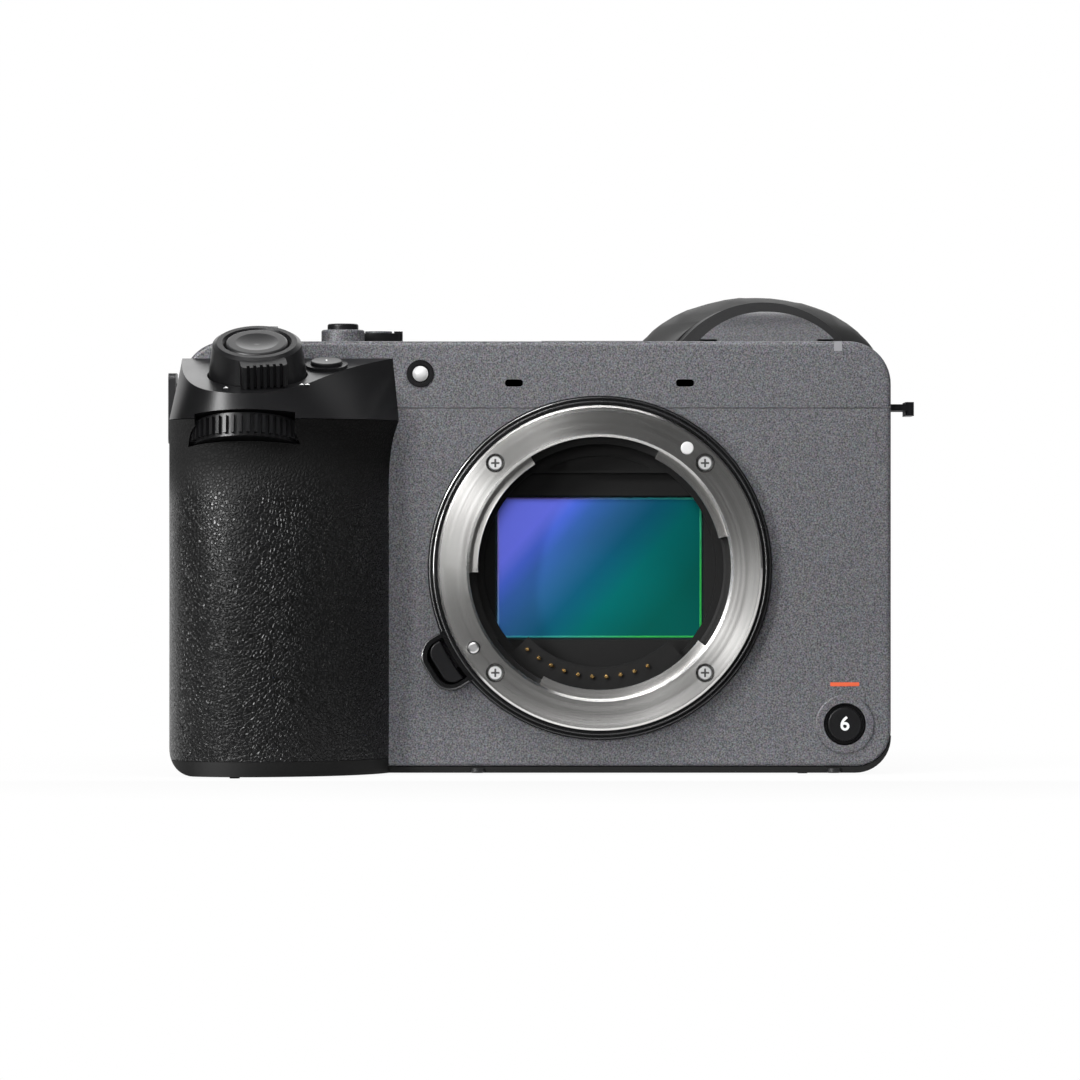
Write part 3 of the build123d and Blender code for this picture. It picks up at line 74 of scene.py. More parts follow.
class Nodes:
    """A short way to place and join the nodes of one tree."""

    def __init__(self, tree):
        self.tree = tree

    def feed(self, node, values):
        """Links or sets the inputs of a node, by name or place."""
        for name, value in values.items():
            if isinstance(value, bpy.types.NodeSocket):
                self.tree.links.new(value, node.inputs[name])
            else:
                node.inputs[name].default_value = value

    def add(self, kind, values=None, **settings):
        node = self.tree.nodes.new(kind)
        for name, value in settings.items():
            setattr(node, name, value)
        self.feed(node, values or {})
        return node

    def maths(self, operation, first, second=0.0):
        return self.add("ShaderNodeMath", {0: first, 1: second}, operation=operation).outputs[0]

    def vectors(self, operation, values):
        return self.add("ShaderNodeVectorMath", values, operation=operation).outputs

    def parts(self, vector):
        return self.add("ShaderNodeSeparateXYZ", {0: vector}).outputs

    def noise(self, vector, scale, detail=2.0, output="Fac"):
        values = {"Vector": vector, "Scale": scale, "Detail": detail}
        return self.add("ShaderNodeTexNoise", values).outputs[output]

    def remap(self, value, low=0.0, high=1.0, at_low=0.0, at_high=1.0, **settings):
        """A value carried from one range to another and held at its ends."""
        values = {0: value, 1: low, 2: high, 3: at_low, 4: at_high}
        return self.add("ShaderNodeMapRange", values, **settings).outputs[0]

    def ramp(self, value, stops):
        node = self.add("ShaderNodeValToRGB", {"Fac": value})
        ramp = node.color_ramp
        while len(ramp.elements) < len(stops):
            ramp.elements.new(0.5)
        for element, (place, colour) in zip(ramp.elements, stops):
            element.position = place
            element.color = (*colour, 1.0)
        return node.outputs["Color"]

    def mix(self, share, first, second, blend="MIX"):
        values = {0: share, 6: first, 7: second}
        return self.add("ShaderNodeMix", values, data_type="RGBA", blend_type=blend).outputs[2]

    def bump(self, height, strength, depth):
        values = {"Height": height, "Strength": strength, "Distance": depth}
        return self.add("ShaderNodeBump", values).outputs[0]


def effect(name, inputs, outputs):
    """A shader node group with named sockets: its nodes, what it is given and its end."""
    tree = bpy.data.node_groups.new(name, "ShaderNodeTree")
    for way, sockets in (("INPUT", inputs), ("OUTPUT", outputs)):
        for label, kind in sockets.items():
            tree.interface.new_socket(label, in_out=way, socket_type=kind)
    n = Nodes(tree)
    return n, n.add("NodeGroupInput").outputs, n.add("NodeGroupOutput")


def speckle_effect():
    """Metallic flake paint: light, dark and faintly tinted grains."""
    inputs = {"Vector": VECTOR, "Scale": FLOAT, "Dark": COLOUR, "Light": COLOUR, "Tint": FLOAT}
    n, given, end = effect("speckle", inputs, {"Color": COLOUR, "Height": FLOAT, "Roughness": FLOAT})
    grain = n.noise(given["Vector"], given["Scale"], 3.0)
    cells = n.add("ShaderNodeTexVoronoi", {"Vector": given["Vector"], "Scale": given["Scale"]})
    base = n.mix(n.remap(grain, 0.34, 0.68), given["Dark"], given["Light"])
    hue = n.mix(0.72, cells.outputs["Color"], (0.5, 0.5, 0.5, 1.0))
    colour = n.mix(given["Tint"], base, hue, "SOFT_LIGHT")
    rough = n.remap(grain, at_low=0.62, at_high=0.40)
    n.feed(end, {"Color": colour, "Height": grain, "Roughness": rough})
    return n.tree


def pebble_effect():
    """Moulded leather grain: rounded cells parted by wandering creases."""
    inputs = {"Vector": VECTOR, "Scale": FLOAT, "Wander": FLOAT}
    n, given, end = effect("pebble", inputs, {"Height": FLOAT, "Crease": FLOAT})
    drift = n.noise(given["Vector"], 600.0, output="Color")
    centred = n.vectors("SUBTRACT", {0: drift, 1: (0.5, 0.5, 0.5)})[0]
    shift = n.vectors("SCALE", {0: centred, "Scale": given["Wander"]})[0]
    place = n.vectors("ADD", {0: given["Vector"], 1: shift})[0]
    cells = n.add("ShaderNodeTexVoronoi", {"Vector": place, "Scale": given["Scale"]},
                  feature="DISTANCE_TO_EDGE")
    crown = n.remap(cells.outputs["Distance"], high=0.28, interpolation_type="SMOOTHERSTEP")
    fine = n.noise(given["Vector"], 4200.0, 3.0)
    height = n.maths("ADD", crown, n.maths("MULTIPLY", fine, 0.25))
    n.feed(end, {"Height": height, "Crease": n.maths("SUBTRACT", 1.0, crown)})
    return n.tree


def mottle_effect():
    """Moulded or coated surface: fine grain and slow changes of colour and gloss."""
    inputs = {"Vector": VECTOR, "Scale": FLOAT, "Base": COLOUR, "Spread": FLOAT, "Gloss": FLOAT,
              "Drift": FLOAT}
    n, given, end = effect("mottle", inputs, {"Color": COLOUR, "Roughness": FLOAT, "Height": FLOAT})
    fine = n.noise(given["Vector"], given["Scale"], 3.0)
    slow = n.noise(given["Vector"], 90.0, 3.0)
    swing = n.maths("MULTIPLY", n.maths("SUBTRACT", n.maths("ADD", fine, slow), 1.0), given["Spread"])
    colour = n.vectors("SCALE", {0: given["Base"], "Scale": n.maths("ADD", swing, 1.0)})[0]
    wander = n.maths("MULTIPLY", n.maths("SUBTRACT", slow, 0.5), given["Drift"])
    n.feed(end, {"Color": colour, "Roughness": n.maths("ADD", given["Gloss"], wander), "Height": fine})
    return n.tree


def turned_effect():
    """Steel turned about the lens axis: fine rings of uneven depth."""
    n, given, end = effect("turned", {"Vector": VECTOR, "Pitch": FLOAT}, {"Height": FLOAT, "Sheen": FLOAT})
    parts = n.parts(given["Vector"])
    across = n.maths("MULTIPLY", parts["X"], parts["X"])
    up = n.maths("MULTIPLY", parts["Z"], parts["Z"])
    radius = n.maths("SQRT", n.maths("ADD", across, up))
    angle = n.maths("ARCTAN2", parts["Z"], parts["X"])
    rings = {0: n.maths("MULTIPLY", radius, given["Pitch"]), 1: angle}
    place = n.add("ShaderNodeCombineXYZ", rings).outputs[0]
    n.feed(end, {"Height": n.noise(place, 1.0), "Sheen": n.noise(place, 0.35, 1.0)})
    return n.tree


EFFECTS = {"speckle": speckle_effect(), "pebble": pebble_effect(), "mottle": mottle_effect(),
           "turned": turned_effect()}


def use(n, name, values):
    """The outputs of a shared effect, placed in a material."""
    return n.add("ShaderNodeGroup", values, node_tree=EFFECTS[name]).outputs


def new_material(name):
    """A material, its nodes, its shader and the object's own coordinates."""
    material = bpy.data.materials.new(name)
    material.use_nodes = True
    n = Nodes(material.node_tree)
    shader = material.node_tree.nodes["Principled BSDF"]
    return material, n, shader, n.add("ShaderNodeTexCoord").outputs["Object"]


def mottled(name, colour, gloss, scale=5000.0, spread=0.25, drift=0.12, strength=0.25, **fixed):
    """Plastic, rubber, plating or glass, by its colour, gloss and grain."""
    material, n, shader, place = new_material(name)
    out = use(n, "mottle", {"Vector": place, "Scale": scale, "Base": (*colour, 1.0), "Spread": spread,
                            "Gloss": gloss, "Drift": drift})
    n.feed(shader, {"Base Color": out["Color"], "Roughness": out["Roughness"],
                    "Normal": n.bump(out["Height"], strength, 0.05 * MM)})
    n.feed(shader, {label.replace("_", " "): value for label, value in fixed.items()})
    return material


def speckled_paint(name, bare=None, shade=1.0):
    """Cover paint; where the share from bare is 1 the plastic under it shows black, and shade below 1 darkens
    its light grains as painted shade.
    """
    material, n, shader, place = new_material(name)
    light = (0.142 * shade, 0.141 * shade, 0.153 * shade, 1.0)
    out = use(n, "speckle", {"Vector": place, "Scale": 3600.0, "Dark": (0.026, 0.026, 0.030, 1.0),
                             "Light": light, "Tint": 0.45})
    colour = out["Color"]
    if bare:
        colour = n.mix(bare(n, place), colour, (0.010, 0.010, 0.0105, 1.0))
    n.feed(shader, {"Base Color": colour, "Roughness": out["Roughness"],
                    "Normal": n.bump(out["Height"], 0.35, 0.08 * MM), "Metallic": 0.10,
                    "Specular IOR Level": 0.35})
    return material


def behind_the_arch(n, place):
    """The viewfinder's dark band, behind its painted front."""
    return n.maths("GREATER_THAN", n.parts(place)["Y"], FINDER_BAND)


def thumb_rest_and_ears(n, place):
    """What stands out of the rear face beside the monitor and at the thumb."""
    middle, half_width, stand_off = -9.2 * MM, 53.2 * MM, 0.05 * MM
    parts = n.parts(place)
    out = n.maths("GREATER_THAN", parts["Y"], REAR + stand_off)
    aside = n.maths("GREATER_THAN", n.maths("ABSOLUTE", n.maths("SUBTRACT", parts["X"], middle)), half_width)
    return n.maths("MULTIPLY", out, aside)


def leather_grain():
    """Pebbled grip cover, its grain softer above the finger groove; its creases and the band above the groove
    are coloured darker as painted shade.
    """
    cell_black, painted_shade_black = (0.0095, 0.0095, 0.010, 1.0), (0.004, 0.004, 0.004, 1.0)
    material, n, shader, place = new_material("grip leather grain")
    out = use(n, "pebble", {"Vector": place, "Scale": 1450.0, "Wander": 0.6 * MM})
    upper = n.remap(n.parts(place)["Z"], GROOVE - 4 * MM, GROOVE + 3 * MM)
    # Painted shade: the creases between the cells are coloured darker.
    colour = n.mix(out["Crease"], cell_black, painted_shade_black)
    rough = n.remap(out["Crease"], at_low=0.23, at_high=0.36)
    softer = n.maths("SUBTRACT", 1.0, n.maths("MULTIPLY", upper, 0.7))
    # Painted shade: above the groove, under the dial's overhang, the colour turns darker still.
    n.feed(shader, {"Base Color": n.mix(upper, colour, painted_shade_black),
                    "Roughness": n.maths("ADD", rough, n.maths("MULTIPLY", upper, 0.5)),
                    "Normal": n.bump(n.maths("MULTIPLY", out["Height"], softer), 0.60, 0.3 * MM),
                    "Specular IOR Level": 0.17})
    return material


def turned_steel():
    """The mount's steel, bright in fans, with painted shade in the gaps round its screws."""
    material, n, shader, place = new_material("turned mount steel")
    to_mount = (0.0, -MOUNT_FACE, -MOUNT_Z)
    centred = n.add("ShaderNodeMapping", {"Vector": place, "Location": to_mount}).outputs[0]
    out = use(n, "turned", {"Vector": centred, "Pitch": 3200.0})
    colour = n.ramp(out["Sheen"], [(0.3, (0.76, 0.75, 0.73)), (0.7, (0.95, 0.94, 0.92))])
    # Painted shade: a dark ring round each screw stands in for the shadowed gap of its countersunk hole.
    away = n.vectors("ABSOLUTE", {0: centred})[0]
    from_screw = n.vectors("DISTANCE", {0: away, 1: SCREW_PLACE})["Value"]
    seat_shade_mask = n.maths("LESS_THAN", from_screw, SCREW_SHADE_REACH)
    tangent = n.add("ShaderNodeTangent", direction_type="RADIAL", axis="Y").outputs[0]
    n.feed(shader, {"Base Color": n.mix(seat_shade_mask, colour, (0.05, 0.05, 0.05, 1.0)),
                    "Roughness": n.remap(out["Sheen"], at_low=0.22, at_high=0.29),
                    "Normal": n.bump(out["Height"], 0.25, 0.04 * MM), "Tangent": tangent,
                    "Metallic": 1.0, "Anisotropic": 0.85, "Anisotropic Rotation": 0.25})
    return material


def recessed_screw_steel(face):
    """Bright screw steel, with painted shade inside the cross recess behind a face."""
    material, n, shader, place = new_material("mount screw steel")
    out = use(n, "mottle", {"Vector": place, "Scale": 5000.0, "Base": (0.93, 0.93, 0.93, 1.0), "Spread": 0.12,
                            "Gloss": 0.40, "Drift": 0.1})
    # Painted shade: steel deeper than the face is coloured dark grey, standing in for the shade in the cross
    # recess.
    depth = n.maths("SUBTRACT", n.parts(place)["Y"], face)
    dark = n.maths("GREATER_THAN", depth, 0.04 * MM)
    n.feed(shader, {"Base Color": n.mix(dark, out["Color"], (0.16, 0.16, 0.16, 1.0)),
                    "Roughness": out["Roughness"], "Normal": n.bump(out["Height"], 0.25, 0.05 * MM),
                    "Metallic": 1.0})
    return material


def sensor_filter():
    """Coated glass, its interference reflection painted into its colour from violet-blue over to dark green,
    with a painted highlight on its cut edge.
    """
    width, height = GLASS_SIZE
    material, n, shader, place = new_material("sensor filter")
    parts = n.parts(place)
    along = n.maths("MULTIPLY", parts["X"], 1.0 / width)
    down = n.maths("MULTIPLY", n.maths("SUBTRACT", MOUNT_Z, parts["Z"]), 1.0 / height)
    slant = n.maths("ADD", n.maths("ADD", along, n.maths("MULTIPLY", down, 0.62)), 0.5)
    # Painted reflection: the coating's violet-blue to green sheen, laid along a diagonal as base colour.
    face = n.ramp(slant, [(0.0, (0.17, 0.21, 1.0)), (0.10, (0.075, 0.15, 0.72)), (0.20, (0.038, 0.125, 0.42)),
                          (0.33, (0.022, 0.105, 0.26)), (0.50, (0.004, 0.080, 0.145)),
                          (0.70, (0.001, 0.105, 0.105)), (1.0, (0.001, 0.075, 0.063))])
    # Painted highlight: a brighter band along the glass's cut edge.
    side = n.maths("DIVIDE", n.maths("ABSOLUTE", parts["X"]), width / 2)
    rise = n.maths("DIVIDE", n.maths("ABSOLUTE", n.maths("SUBTRACT", parts["Z"], MOUNT_Z)), height / 2)
    edge = n.maths("MAXIMUM", n.maths("GREATER_THAN", side, 0.982), n.maths("GREATER_THAN", rise, 0.975))
    rim = n.ramp(slant, [(0.0, (0.35, 0.30, 0.95)), (0.4, (0.06, 0.45, 0.55)), (1.0, (0.05, 0.60, 0.12))])
    grain = use(n, "mottle", {"Vector": place, "Scale": 900.0, "Base": (0.5, 0.5, 0.5, 1.0), "Spread": 0.04,
                              "Gloss": 0.07, "Drift": 0.03})
    n.feed(shader, {"Base Color": n.mix(edge, face, rim), "Roughness": grain["Roughness"],
                    "Coat Weight": 0.15, "Coat Roughness": 0.02, "Specular IOR Level": 0.3})
    return material


def monitor_glass():
    """Black glass with the slightly lighter picture area behind it."""
    middle_x, half_width, middle_z, half_height = 9.2 * MM, 28.5 * MM, 28.5 * MM, 19.0 * MM
    material, n, shader, place = new_material("monitor glass")
    out = use(n, "mottle", {"Vector": place, "Scale": 5000.0, "Base": (0.006, 0.006, 0.008, 1.0),
                            "Spread": 0.1, "Gloss": 0.06, "Drift": 0.02})
    parts = n.parts(place)
    across = n.maths("LESS_THAN", n.maths("ABSOLUTE", n.maths("SUBTRACT", parts["X"], middle_x)), half_width)
    up = n.maths("LESS_THAN", n.maths("ABSOLUTE", n.maths("SUBTRACT", parts["Z"], middle_z)), half_height)
    colour = n.mix(n.maths("MULTIPLY", across, up), out["Color"], (0.014, 0.015, 0.019, 1.0))
    n.feed(shader, {"Base Color": colour, "Roughness": out["Roughness"], "Coat Weight": 0.5})
    return material


paint = speckled_paint("speckled cover paint")
# The viewfinder's paint is a darker copy of the cover paint: painted shade on a top that faces the lamps.
finder_paint = speckled_paint("viewfinder paint", behind_the_arch, 0.55)
rear_paint = speckled_paint("rear cover paint", thumb_rest_and_ears)
leather = leather_grain()
steel = turned_steel()
filter_glass = sensor_filter()
satin = mottled("satin black plastic", (0.0075, 0.0075, 0.008), 0.33, Specular_IOR_Level=0.13)
worn_satin = mottled("satin button plastic", (0.011, 0.011, 0.0115), 0.36, Specular_IOR_Level=0.22)
# A lighter black than the parts round it: a painted highlight for the fine edge beads.
edge_highlight_plastic = mottled("edge highlight plastic", (0.020, 0.020, 0.021), 0.25, strength=0.05, Coat_Weight=0.4)
matt = mottled("matt black plastic", (0.005, 0.005, 0.005), 0.60, strength=0.35, Specular_IOR_Level=0.15)
gloss = mottled("gloss black plastic", (0.004, 0.004, 0.0042), 0.28, strength=0.08, Specular_IOR_Level=0.20)
coated = mottled("black coated metal", (0.010, 0.010, 0.011), 0.36, Metallic=0.3)
rubber = mottled("eyecup rubber", (0.010, 0.010, 0.010), 0.66, scale=3500.0, strength=0.45)
alloy = mottled("cast alloy", (0.42, 0.42, 0.43), 0.45, scale=2500.0, strength=0.5, Metallic=0.9)
screw = mottled("screw steel", (0.80, 0.80, 0.80), 0.34, spread=0.12, Metallic=1.0)
mount_screw_steel = recessed_screw_steel(MOUNT_FACE + SCREW_SINK)
gold = mottled("gold plating", (0.80, 0.52, 0.20), 0.25, spread=0.1, Metallic=1.0)
white = mottled("white plastic", (0.50, 0.50, 0.50), 0.30, spread=0.05, strength=0.05)
lamp_cover = mottled("lamp cover", (0.20, 0.20, 0.21), 0.30, spread=0.1, strength=0.05)
screen = monitor_glass()
eye_glass = mottled("eyepiece glass", (0.030, 0.018, 0.045), 0.04, drift=0.02, strength=0.01, Coat_Weight=0.8)
ceramic = mottled("sensor package", (0.010, 0.030, 0.034), 0.35)
board = mottled("circuit board", (0.008, 0.060, 0.028), 0.35, scale=1500.0)
cell = mottled("battery case", (0.030, 0.030, 0.033), 0.50)
print_white = mottled("white print", (0.66, 0.66, 0.66), 0.50, spread=0.06, strength=0.1)
print_red = mottled("orange-red print", (0.52, 0.075, 0.022), 0.50, spread=0.10, strength=0.1)

FINISHES = {
    paint: ["front_cover", "top_cover"],
    finder_paint: ["evf_housing"],
    rear_paint: ["rear_cover"],
    leather: ["grip_skin"],
    satin: ["grip_top", "release_button", "card_door", "port_door_upper", "port_door_lower", "mode_lever",
            "zoom_lever", "front_dial", "rear_dial", "custom_button", "top_button", "menu_button",
            "playback_button", "delete_button", "select_button", "control_wheel", "lcd_panel", "lcd_hinge",
            "battery_latch", "diopter_dial", "record_button", "lamp_bezel"],
    worn_satin: ["shutter_button"],
    matt: ["port_connectors", "throat_liner", "fan_rotor", "shutter_frame", "card_reader", "contact_block",
           "base_plate", "battery_door"],
    gloss: ["mount_surround"],
    coated: ["strap_lugs", "accessory_shoe", "evf_hinge", "shutter_blade_1", "shutter_blade_2"],
    steel: ["mount_ring"],
    screw: ["thread_inserts", "lock_pin", "mount_screws"],
    rubber: ["eyecup", "joystick"],
    alloy: ["chassis", "stabiliser_frame"],
    gold: ["contact_pins"],
    white: ["index_dot", "lamp_dome"],
    lamp_cover: ["tally_lamp"],
    filter_glass: ["sensor_glass"],
    ceramic: ["sensor"],
    screen: ["lcd_glass"],
    eye_glass: ["eyepiece_lens"],
    board: ["main_board"],
    cell: ["battery"],
}
for finish, members in FINISHES.items():
    for member in members:
        nodes[member].data.materials.clear()
        nodes[member].data.materials.append(finish)


def in_scene(name, data):
    """A new object that holds some data, linked to the scene."""
    thing = bpy.data.objects.new(name, data)
    bpy.context.scene.collection.objects.link(thing)
    return thing


def piece(name, mesh, material, body):
    """A finished mesh as a piece that rides on a body."""
    mesh.name = name
    mesh.materials.clear()
    mesh.materials.append(material)
    thing = in_scene(name, mesh)
    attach(thing, body)
    return thing


def printed(name, mesh, body, ink=print_white):
    """A mark of print in the given ink, white print unless another is given."""
    piece(name, mesh, ink, body)


def finished(bm, name):
    """The mesh of a bmesh, which is freed."""
    mesh = bpy.data.meshes.new(name)
    bm.to_mesh(mesh)
    bm.free()
    return mesh


def made_real(maker, *spares):
    """The evaluated mesh of an object, which is removed with its spares."""
    mesh = bpy.data.meshes.new_from_object(maker.evaluated_get(bpy.context.evaluated_depsgraph_get()))
    for spare in (maker, *spares):
        bpy.data.objects.remove(spare)
    return mesh


def around(radius, turn):
    """A point on a circle about the origin, its turn in radians."""
    return radius * math.cos(turn), radius * math.sin(turn)


def about_lens(radius, turn, y):
    """A point on a circle about the lens axis, its turn in radians."""
    across, up = around(radius, turn)
    return across, y, MOUNT_Z + up


def swept(sections, closed=False):
    """A skin over a row of equal outlines, capped at both ends unless the row closes."""
    bm = bmesh.new()
    rows = [[bm.verts.new(point) for point in section] for section in sections]
    pairs = list(zip(rows, rows[1:])) + ([(rows[-1], rows[0])] if closed else [])
    for near, far in pairs:
        for k in range(len(near)):
            after = (k + 1) % len(near)
            bm.faces.new((near[k], near[after], far[after], far[k]))
    if not closed:
        bm.faces.new(rows[0])
        bm.faces.new(rows[-1])
    bmesh.ops.recalc_face_normals(bm, faces=bm.faces)
    return finished(bm, "swept")


def flat_mark(outline):
    """A thin printed shape from its outline in millimetres, facing up."""
    return swept([[(x * MM, y * MM, height) for x, y in outline] for height in (0.0, PRINT)])


def round_outline(radius, steps=20):
    return [around(radius, 2 * math.pi * k / steps) for k in range(steps)]


def bar_outline(across, up, corner):
    """A bar with rounded corners, in millimetres."""
    outline = []
    for first, right, over in ((0, 1, 1), (90, -1, 1), (180, -1, -1), (270, 1, -1)):
        for step in (0, 22.5, 45, 67.5, 90):
            x, y = around(corner, math.radians(first + step))
            outline.append((right * (across / 2 - corner) + x, over * (up / 2 - corner) + y))
    return outline


def copies_tree():
    """Geometry Nodes: one shape on every point, made real and given its material."""
    tree = bpy.data.node_groups.new("copies on points", "GeometryNodeTree")
    for label, kind in (("Geometry", "NodeSocketGeometry"), ("Shape", "NodeSocketObject"),
                        ("Material", "NodeSocketMaterial")):
        tree.interface.new_socket(label, in_out="INPUT", socket_type=kind)
    tree.interface.new_socket("Geometry", in_out="OUTPUT", socket_type="NodeSocketGeometry")
    n = Nodes(tree)
    inputs = n.add("NodeGroupInput").outputs
    shape = n.add("GeometryNodeObjectInfo", {"Object": inputs["Shape"]}).outputs["Geometry"]
    placed = n.add("GeometryNodeInstanceOnPoints", {"Points": inputs["Geometry"], "Instance": shape})
    solid = n.add("GeometryNodeRealizeInstances", {"Geometry": placed.outputs[0]})
    coloured = n.add("GeometryNodeSetMaterial", {"Geometry": solid.outputs[0],
                                                 "Material": inputs["Material"]})
    n.add("NodeGroupOutput", {"Geometry": coloured.outputs[0]})
    return tree


copies = copies_tree()


def copies_at(name, shape, places, material):
    """Copies of a shape at the given places, baked to one mesh."""
    pattern = in_scene(name + "_shape", shape)
    points = bpy.data.meshes.new(name + "_points")
    points.from_pydata(places, [], [])
    carrier = in_scene(name + "_points", points)
    modifier = carrier.modifiers.new(name, "NODES")
    modifier.node_group = copies
    keys = {item.name: item.identifier for item in copies.interface.items_tree if item.in_out == "INPUT"}
    modifier[keys["Shape"]] = pattern
    modifier[keys["Material"]] = material
    return made_real(carrier, pattern)


def round_places(count, radius, first=0.0):
    """Even places on a circle, the first at a turn in radians."""
    return [(*around(radius, first + 2 * math.pi * k / count), 0.0) for k in range(count)]


def lay(mesh, place, tilt=0.0, turn=0.0):
    """Puts a mesh that faces up at a place, tilted about X and then turned about Z, in degrees."""
    mesh.transform(Matrix.Translation(place) @ Matrix.Rotation(math.radians(turn), 4, "Z")
                   @ Matrix.Rotation(math.radians(tilt), 4, "X"))
    return mesh


def cross_outline(turn, arm, half):
    """Reach of a cross recess in one direction from its middle."""
    across, up = max(abs(math.cos(turn)), 1e-9), max(abs(math.sin(turn)), 1e-9)
    return max(min(arm / across, half / up), min(half / across, arm / up))


def screw_head():
    """A domed head with a cross recess, facing up, its rim at height 0."""
    arm, half, steps = 0.75 * MM, 0.16 * MM, 48
    skirt, crown, recess, dome_share = -0.62 * MM, 0.22 * MM, -0.45 * MM, 0.84
    turns = [2 * math.pi * k / steps for k in range(steps)]
    turns += [quarter * math.pi / 2 + math.atan2(rise, run) for quarter in range(4)
              for rise, run in ((half, arm), (arm, half))]
    rows = []
    for reach, height in ((1.0, skirt), (1.0, 0.0), (dome_share, crown), (0.0, crown), (0.0, recess)):
        row = []
        for turn in sorted(turns):
            radius = SCREW_HEAD * reach if reach else cross_outline(turn, arm, half)
            row.append((*around(radius, turn), height))
        rows.append(row)
    return swept(rows)


screws = copies_at("mount_screw_heads", screw_head(), round_places(4, SCREW_CIRCLE, math.radians(45)),
                   mount_screw_steel)
lay(screws, (0, MOUNT_FACE + SCREW_SINK, MOUNT_Z), 90)
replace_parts(piece("cross_screws", screws, mount_screw_steel, "camera"), "mount_screws")


def numeral():
    """The plain number on the record button, facing up."""
    curve = bpy.data.curves.new("numeral", "FONT")
    curve.body = "6"
    curve.size = 3.5 * MM
    curve.align_x = curve.align_y = "CENTER"
    curve.extrude = PRINT / 2
    curve.offset = 0.06 * MM
    return made_real(in_scene("numeral_maker", curve))


BUTTON_STAND, MARK_HEIGHT = 0.30 * MM, 16.2 * MM
printed("button_numeral", lay(numeral(), (RECORD[0], FRONT - BUTTON_STAND, RECORD[1]), 90), "record_button")
record_bar = flat_mark(bar_outline(5.2, 0.7, 0.12))
printed("record_mark", lay(record_bar, (RECORD[0], FRONT, MARK_HEIGHT), 90), "camera", print_red)


def on_shoulder(x, y, lift=0.0):
    """A place on the grip's sloping plate, in metres."""
    slope = math.radians(SLOPE)
    rise = (y - SHOULDER_FRONT) * math.tan(slope) + SHOULDER_HEIGHT
    return x * MM, (y - lift * math.sin(slope)) * MM, (rise + lift * math.cos(slope)) * MM


tree_mark = [(-0.42, -0.40), (0.42, -0.40), (0.0, 0.45)]
wide_marks = copies_at("wide_marks", flat_mark(tree_mark), [(-0.5 * MM, 0, 0), (0.5 * MM, 0, 0)], print_white)
printed("zoom_mark_tele", lay(flat_mark(tree_mark), on_shoulder(-66.2, -42.3), SLOPE), "camera")
printed("zoom_mark_wide", lay(wide_marks, on_shoulder(-52.4, -40.1), SLOPE), "camera")
tick = bar_outline(0.28, 0.9, 0.10)
printed("custom_tick", lay(flat_mark(tick), on_shoulder(-48.9, -28.0, 1.2), SLOPE), "custom_button")

POINTER_REACH, DOT_CIRCLE, LEVER_HEIGHT = 3.6, 5.6, 2.3 * MM
pointer_place = ((MODE[0] + POINTER_REACH) * MM, MODE[1] * MM, TOP + LEVER_HEIGHT)
printed("mode_pointer", lay(flat_mark(tick), pointer_place, 0, 90), "mode_lever")
dots = []
for turn in (-25, 0, 25):
    across, along = around(DOT_CIRCLE, math.radians(turn))
    dots.append(((MODE[0] + across) * MM, (MODE[1] + along) * MM, TOP))
printed("mode_dots", copies_at("mode_dots", flat_mark(round_outline(0.28)), dots, print_white), "camera")
wheel_dots = copies_at("wheel_dots", flat_mark(round_outline(0.35)), round_places(4, 8.3 * MM), print_white)
wheel_face = (WHEEL[0], REAR + 1.7 * MM, WHEEL[1])
printed("wheel_marks", lay(wheel_dots, wheel_face, 90, 180), "control_wheel")

# Five base screws, at places seen from below, their rims over the standing plane
BASE_RIM = 0.50 * MM
base_places = [(x * MM, y * MM, 0) for x, y in ((42, -17), (42, 21.5), (-22, -17), (-22, 21.5), (-44, 20))]
base_screws = copies_at("base_screw_heads", screw_head(), base_places, coated)
lay(base_screws, (0, 0, BASE_RIM), 180)
piece("base_screws", base_screws, coated, "camera")


def thread_coil(depth, pitch=1.27 * MM, steps=24):
    """The ridge of a coarse quarter-inch thread, standing on its floor."""
    crest, root, half, land = THREAD - 0.62 * MM, THREAD + 0.02 * MM, 0.55 * MM, 0.06 * MM
    ridge = ((root, -half), (root, half), (crest, land), (crest, -land))
    rows = []
    for k in range(int(depth / pitch * steps)):
        turn, rise = 2 * math.pi * k / steps, pitch * k / steps
        rows.append([(*around(radius, turn), rise + lift) for radius, lift in ridge])
    return swept(rows)


THREADS = [("tripod", 0, 0, 0.7, 6.2), ("top_rear", -23, 4, 72.6, 4.5), ("top_front", 31, -9, 72.6, 4.5)]
for label, x, y, low, depth in THREADS:
    coil = lay(thread_coil(depth * MM), (x * MM, y * MM, low * MM))
    piece(label + "_thread", coil, screw, "camera")


def throat_ridges():
    """Fine light-trapping steps round the throat, left out where the contact block sits."""
    back, low, high = THROAT + 0.1 * MM, THROAT - 0.05 * MM, THROAT - 0.35 * MM
    first, pitch, ramp, count = -22.8, 0.75, 0.5 * MM, 6
    start, step_angle, steps = -43.0, 2.15, 121
    outline = [(back, -18.3 * MM), (back, -22.9 * MM)]
    for k in range(count):
        step = (first + pitch * k) * MM
        outline += [(high, step), (low, step + ramp)]
    turns = [math.radians(start + step_angle * k) for k in range(steps)]
    return swept([[about_lens(radius, turn, y) for radius, y in outline] for turn in turns])


piece("throat_steps", throat_ridges(), matt, "camera")


def half_round(width, rise):
    """The profile of a fine bead: how far out and how far forward each point stands."""
    return [(width / 2 * math.cos(turn), rise * math.sin(turn)) for turn in HALF_ROUND]


def bead(radius, y, width, rise, steps=180):
    """A fine half-round line about the lens axis, standing forward of y."""
    rows = []
    for k in range(steps):
        turn = 2 * math.pi * k / steps
        rows.append([about_lens(radius + out, turn, y - forward) for out, forward in half_round(width, rise)])
    return swept(rows, closed=True)


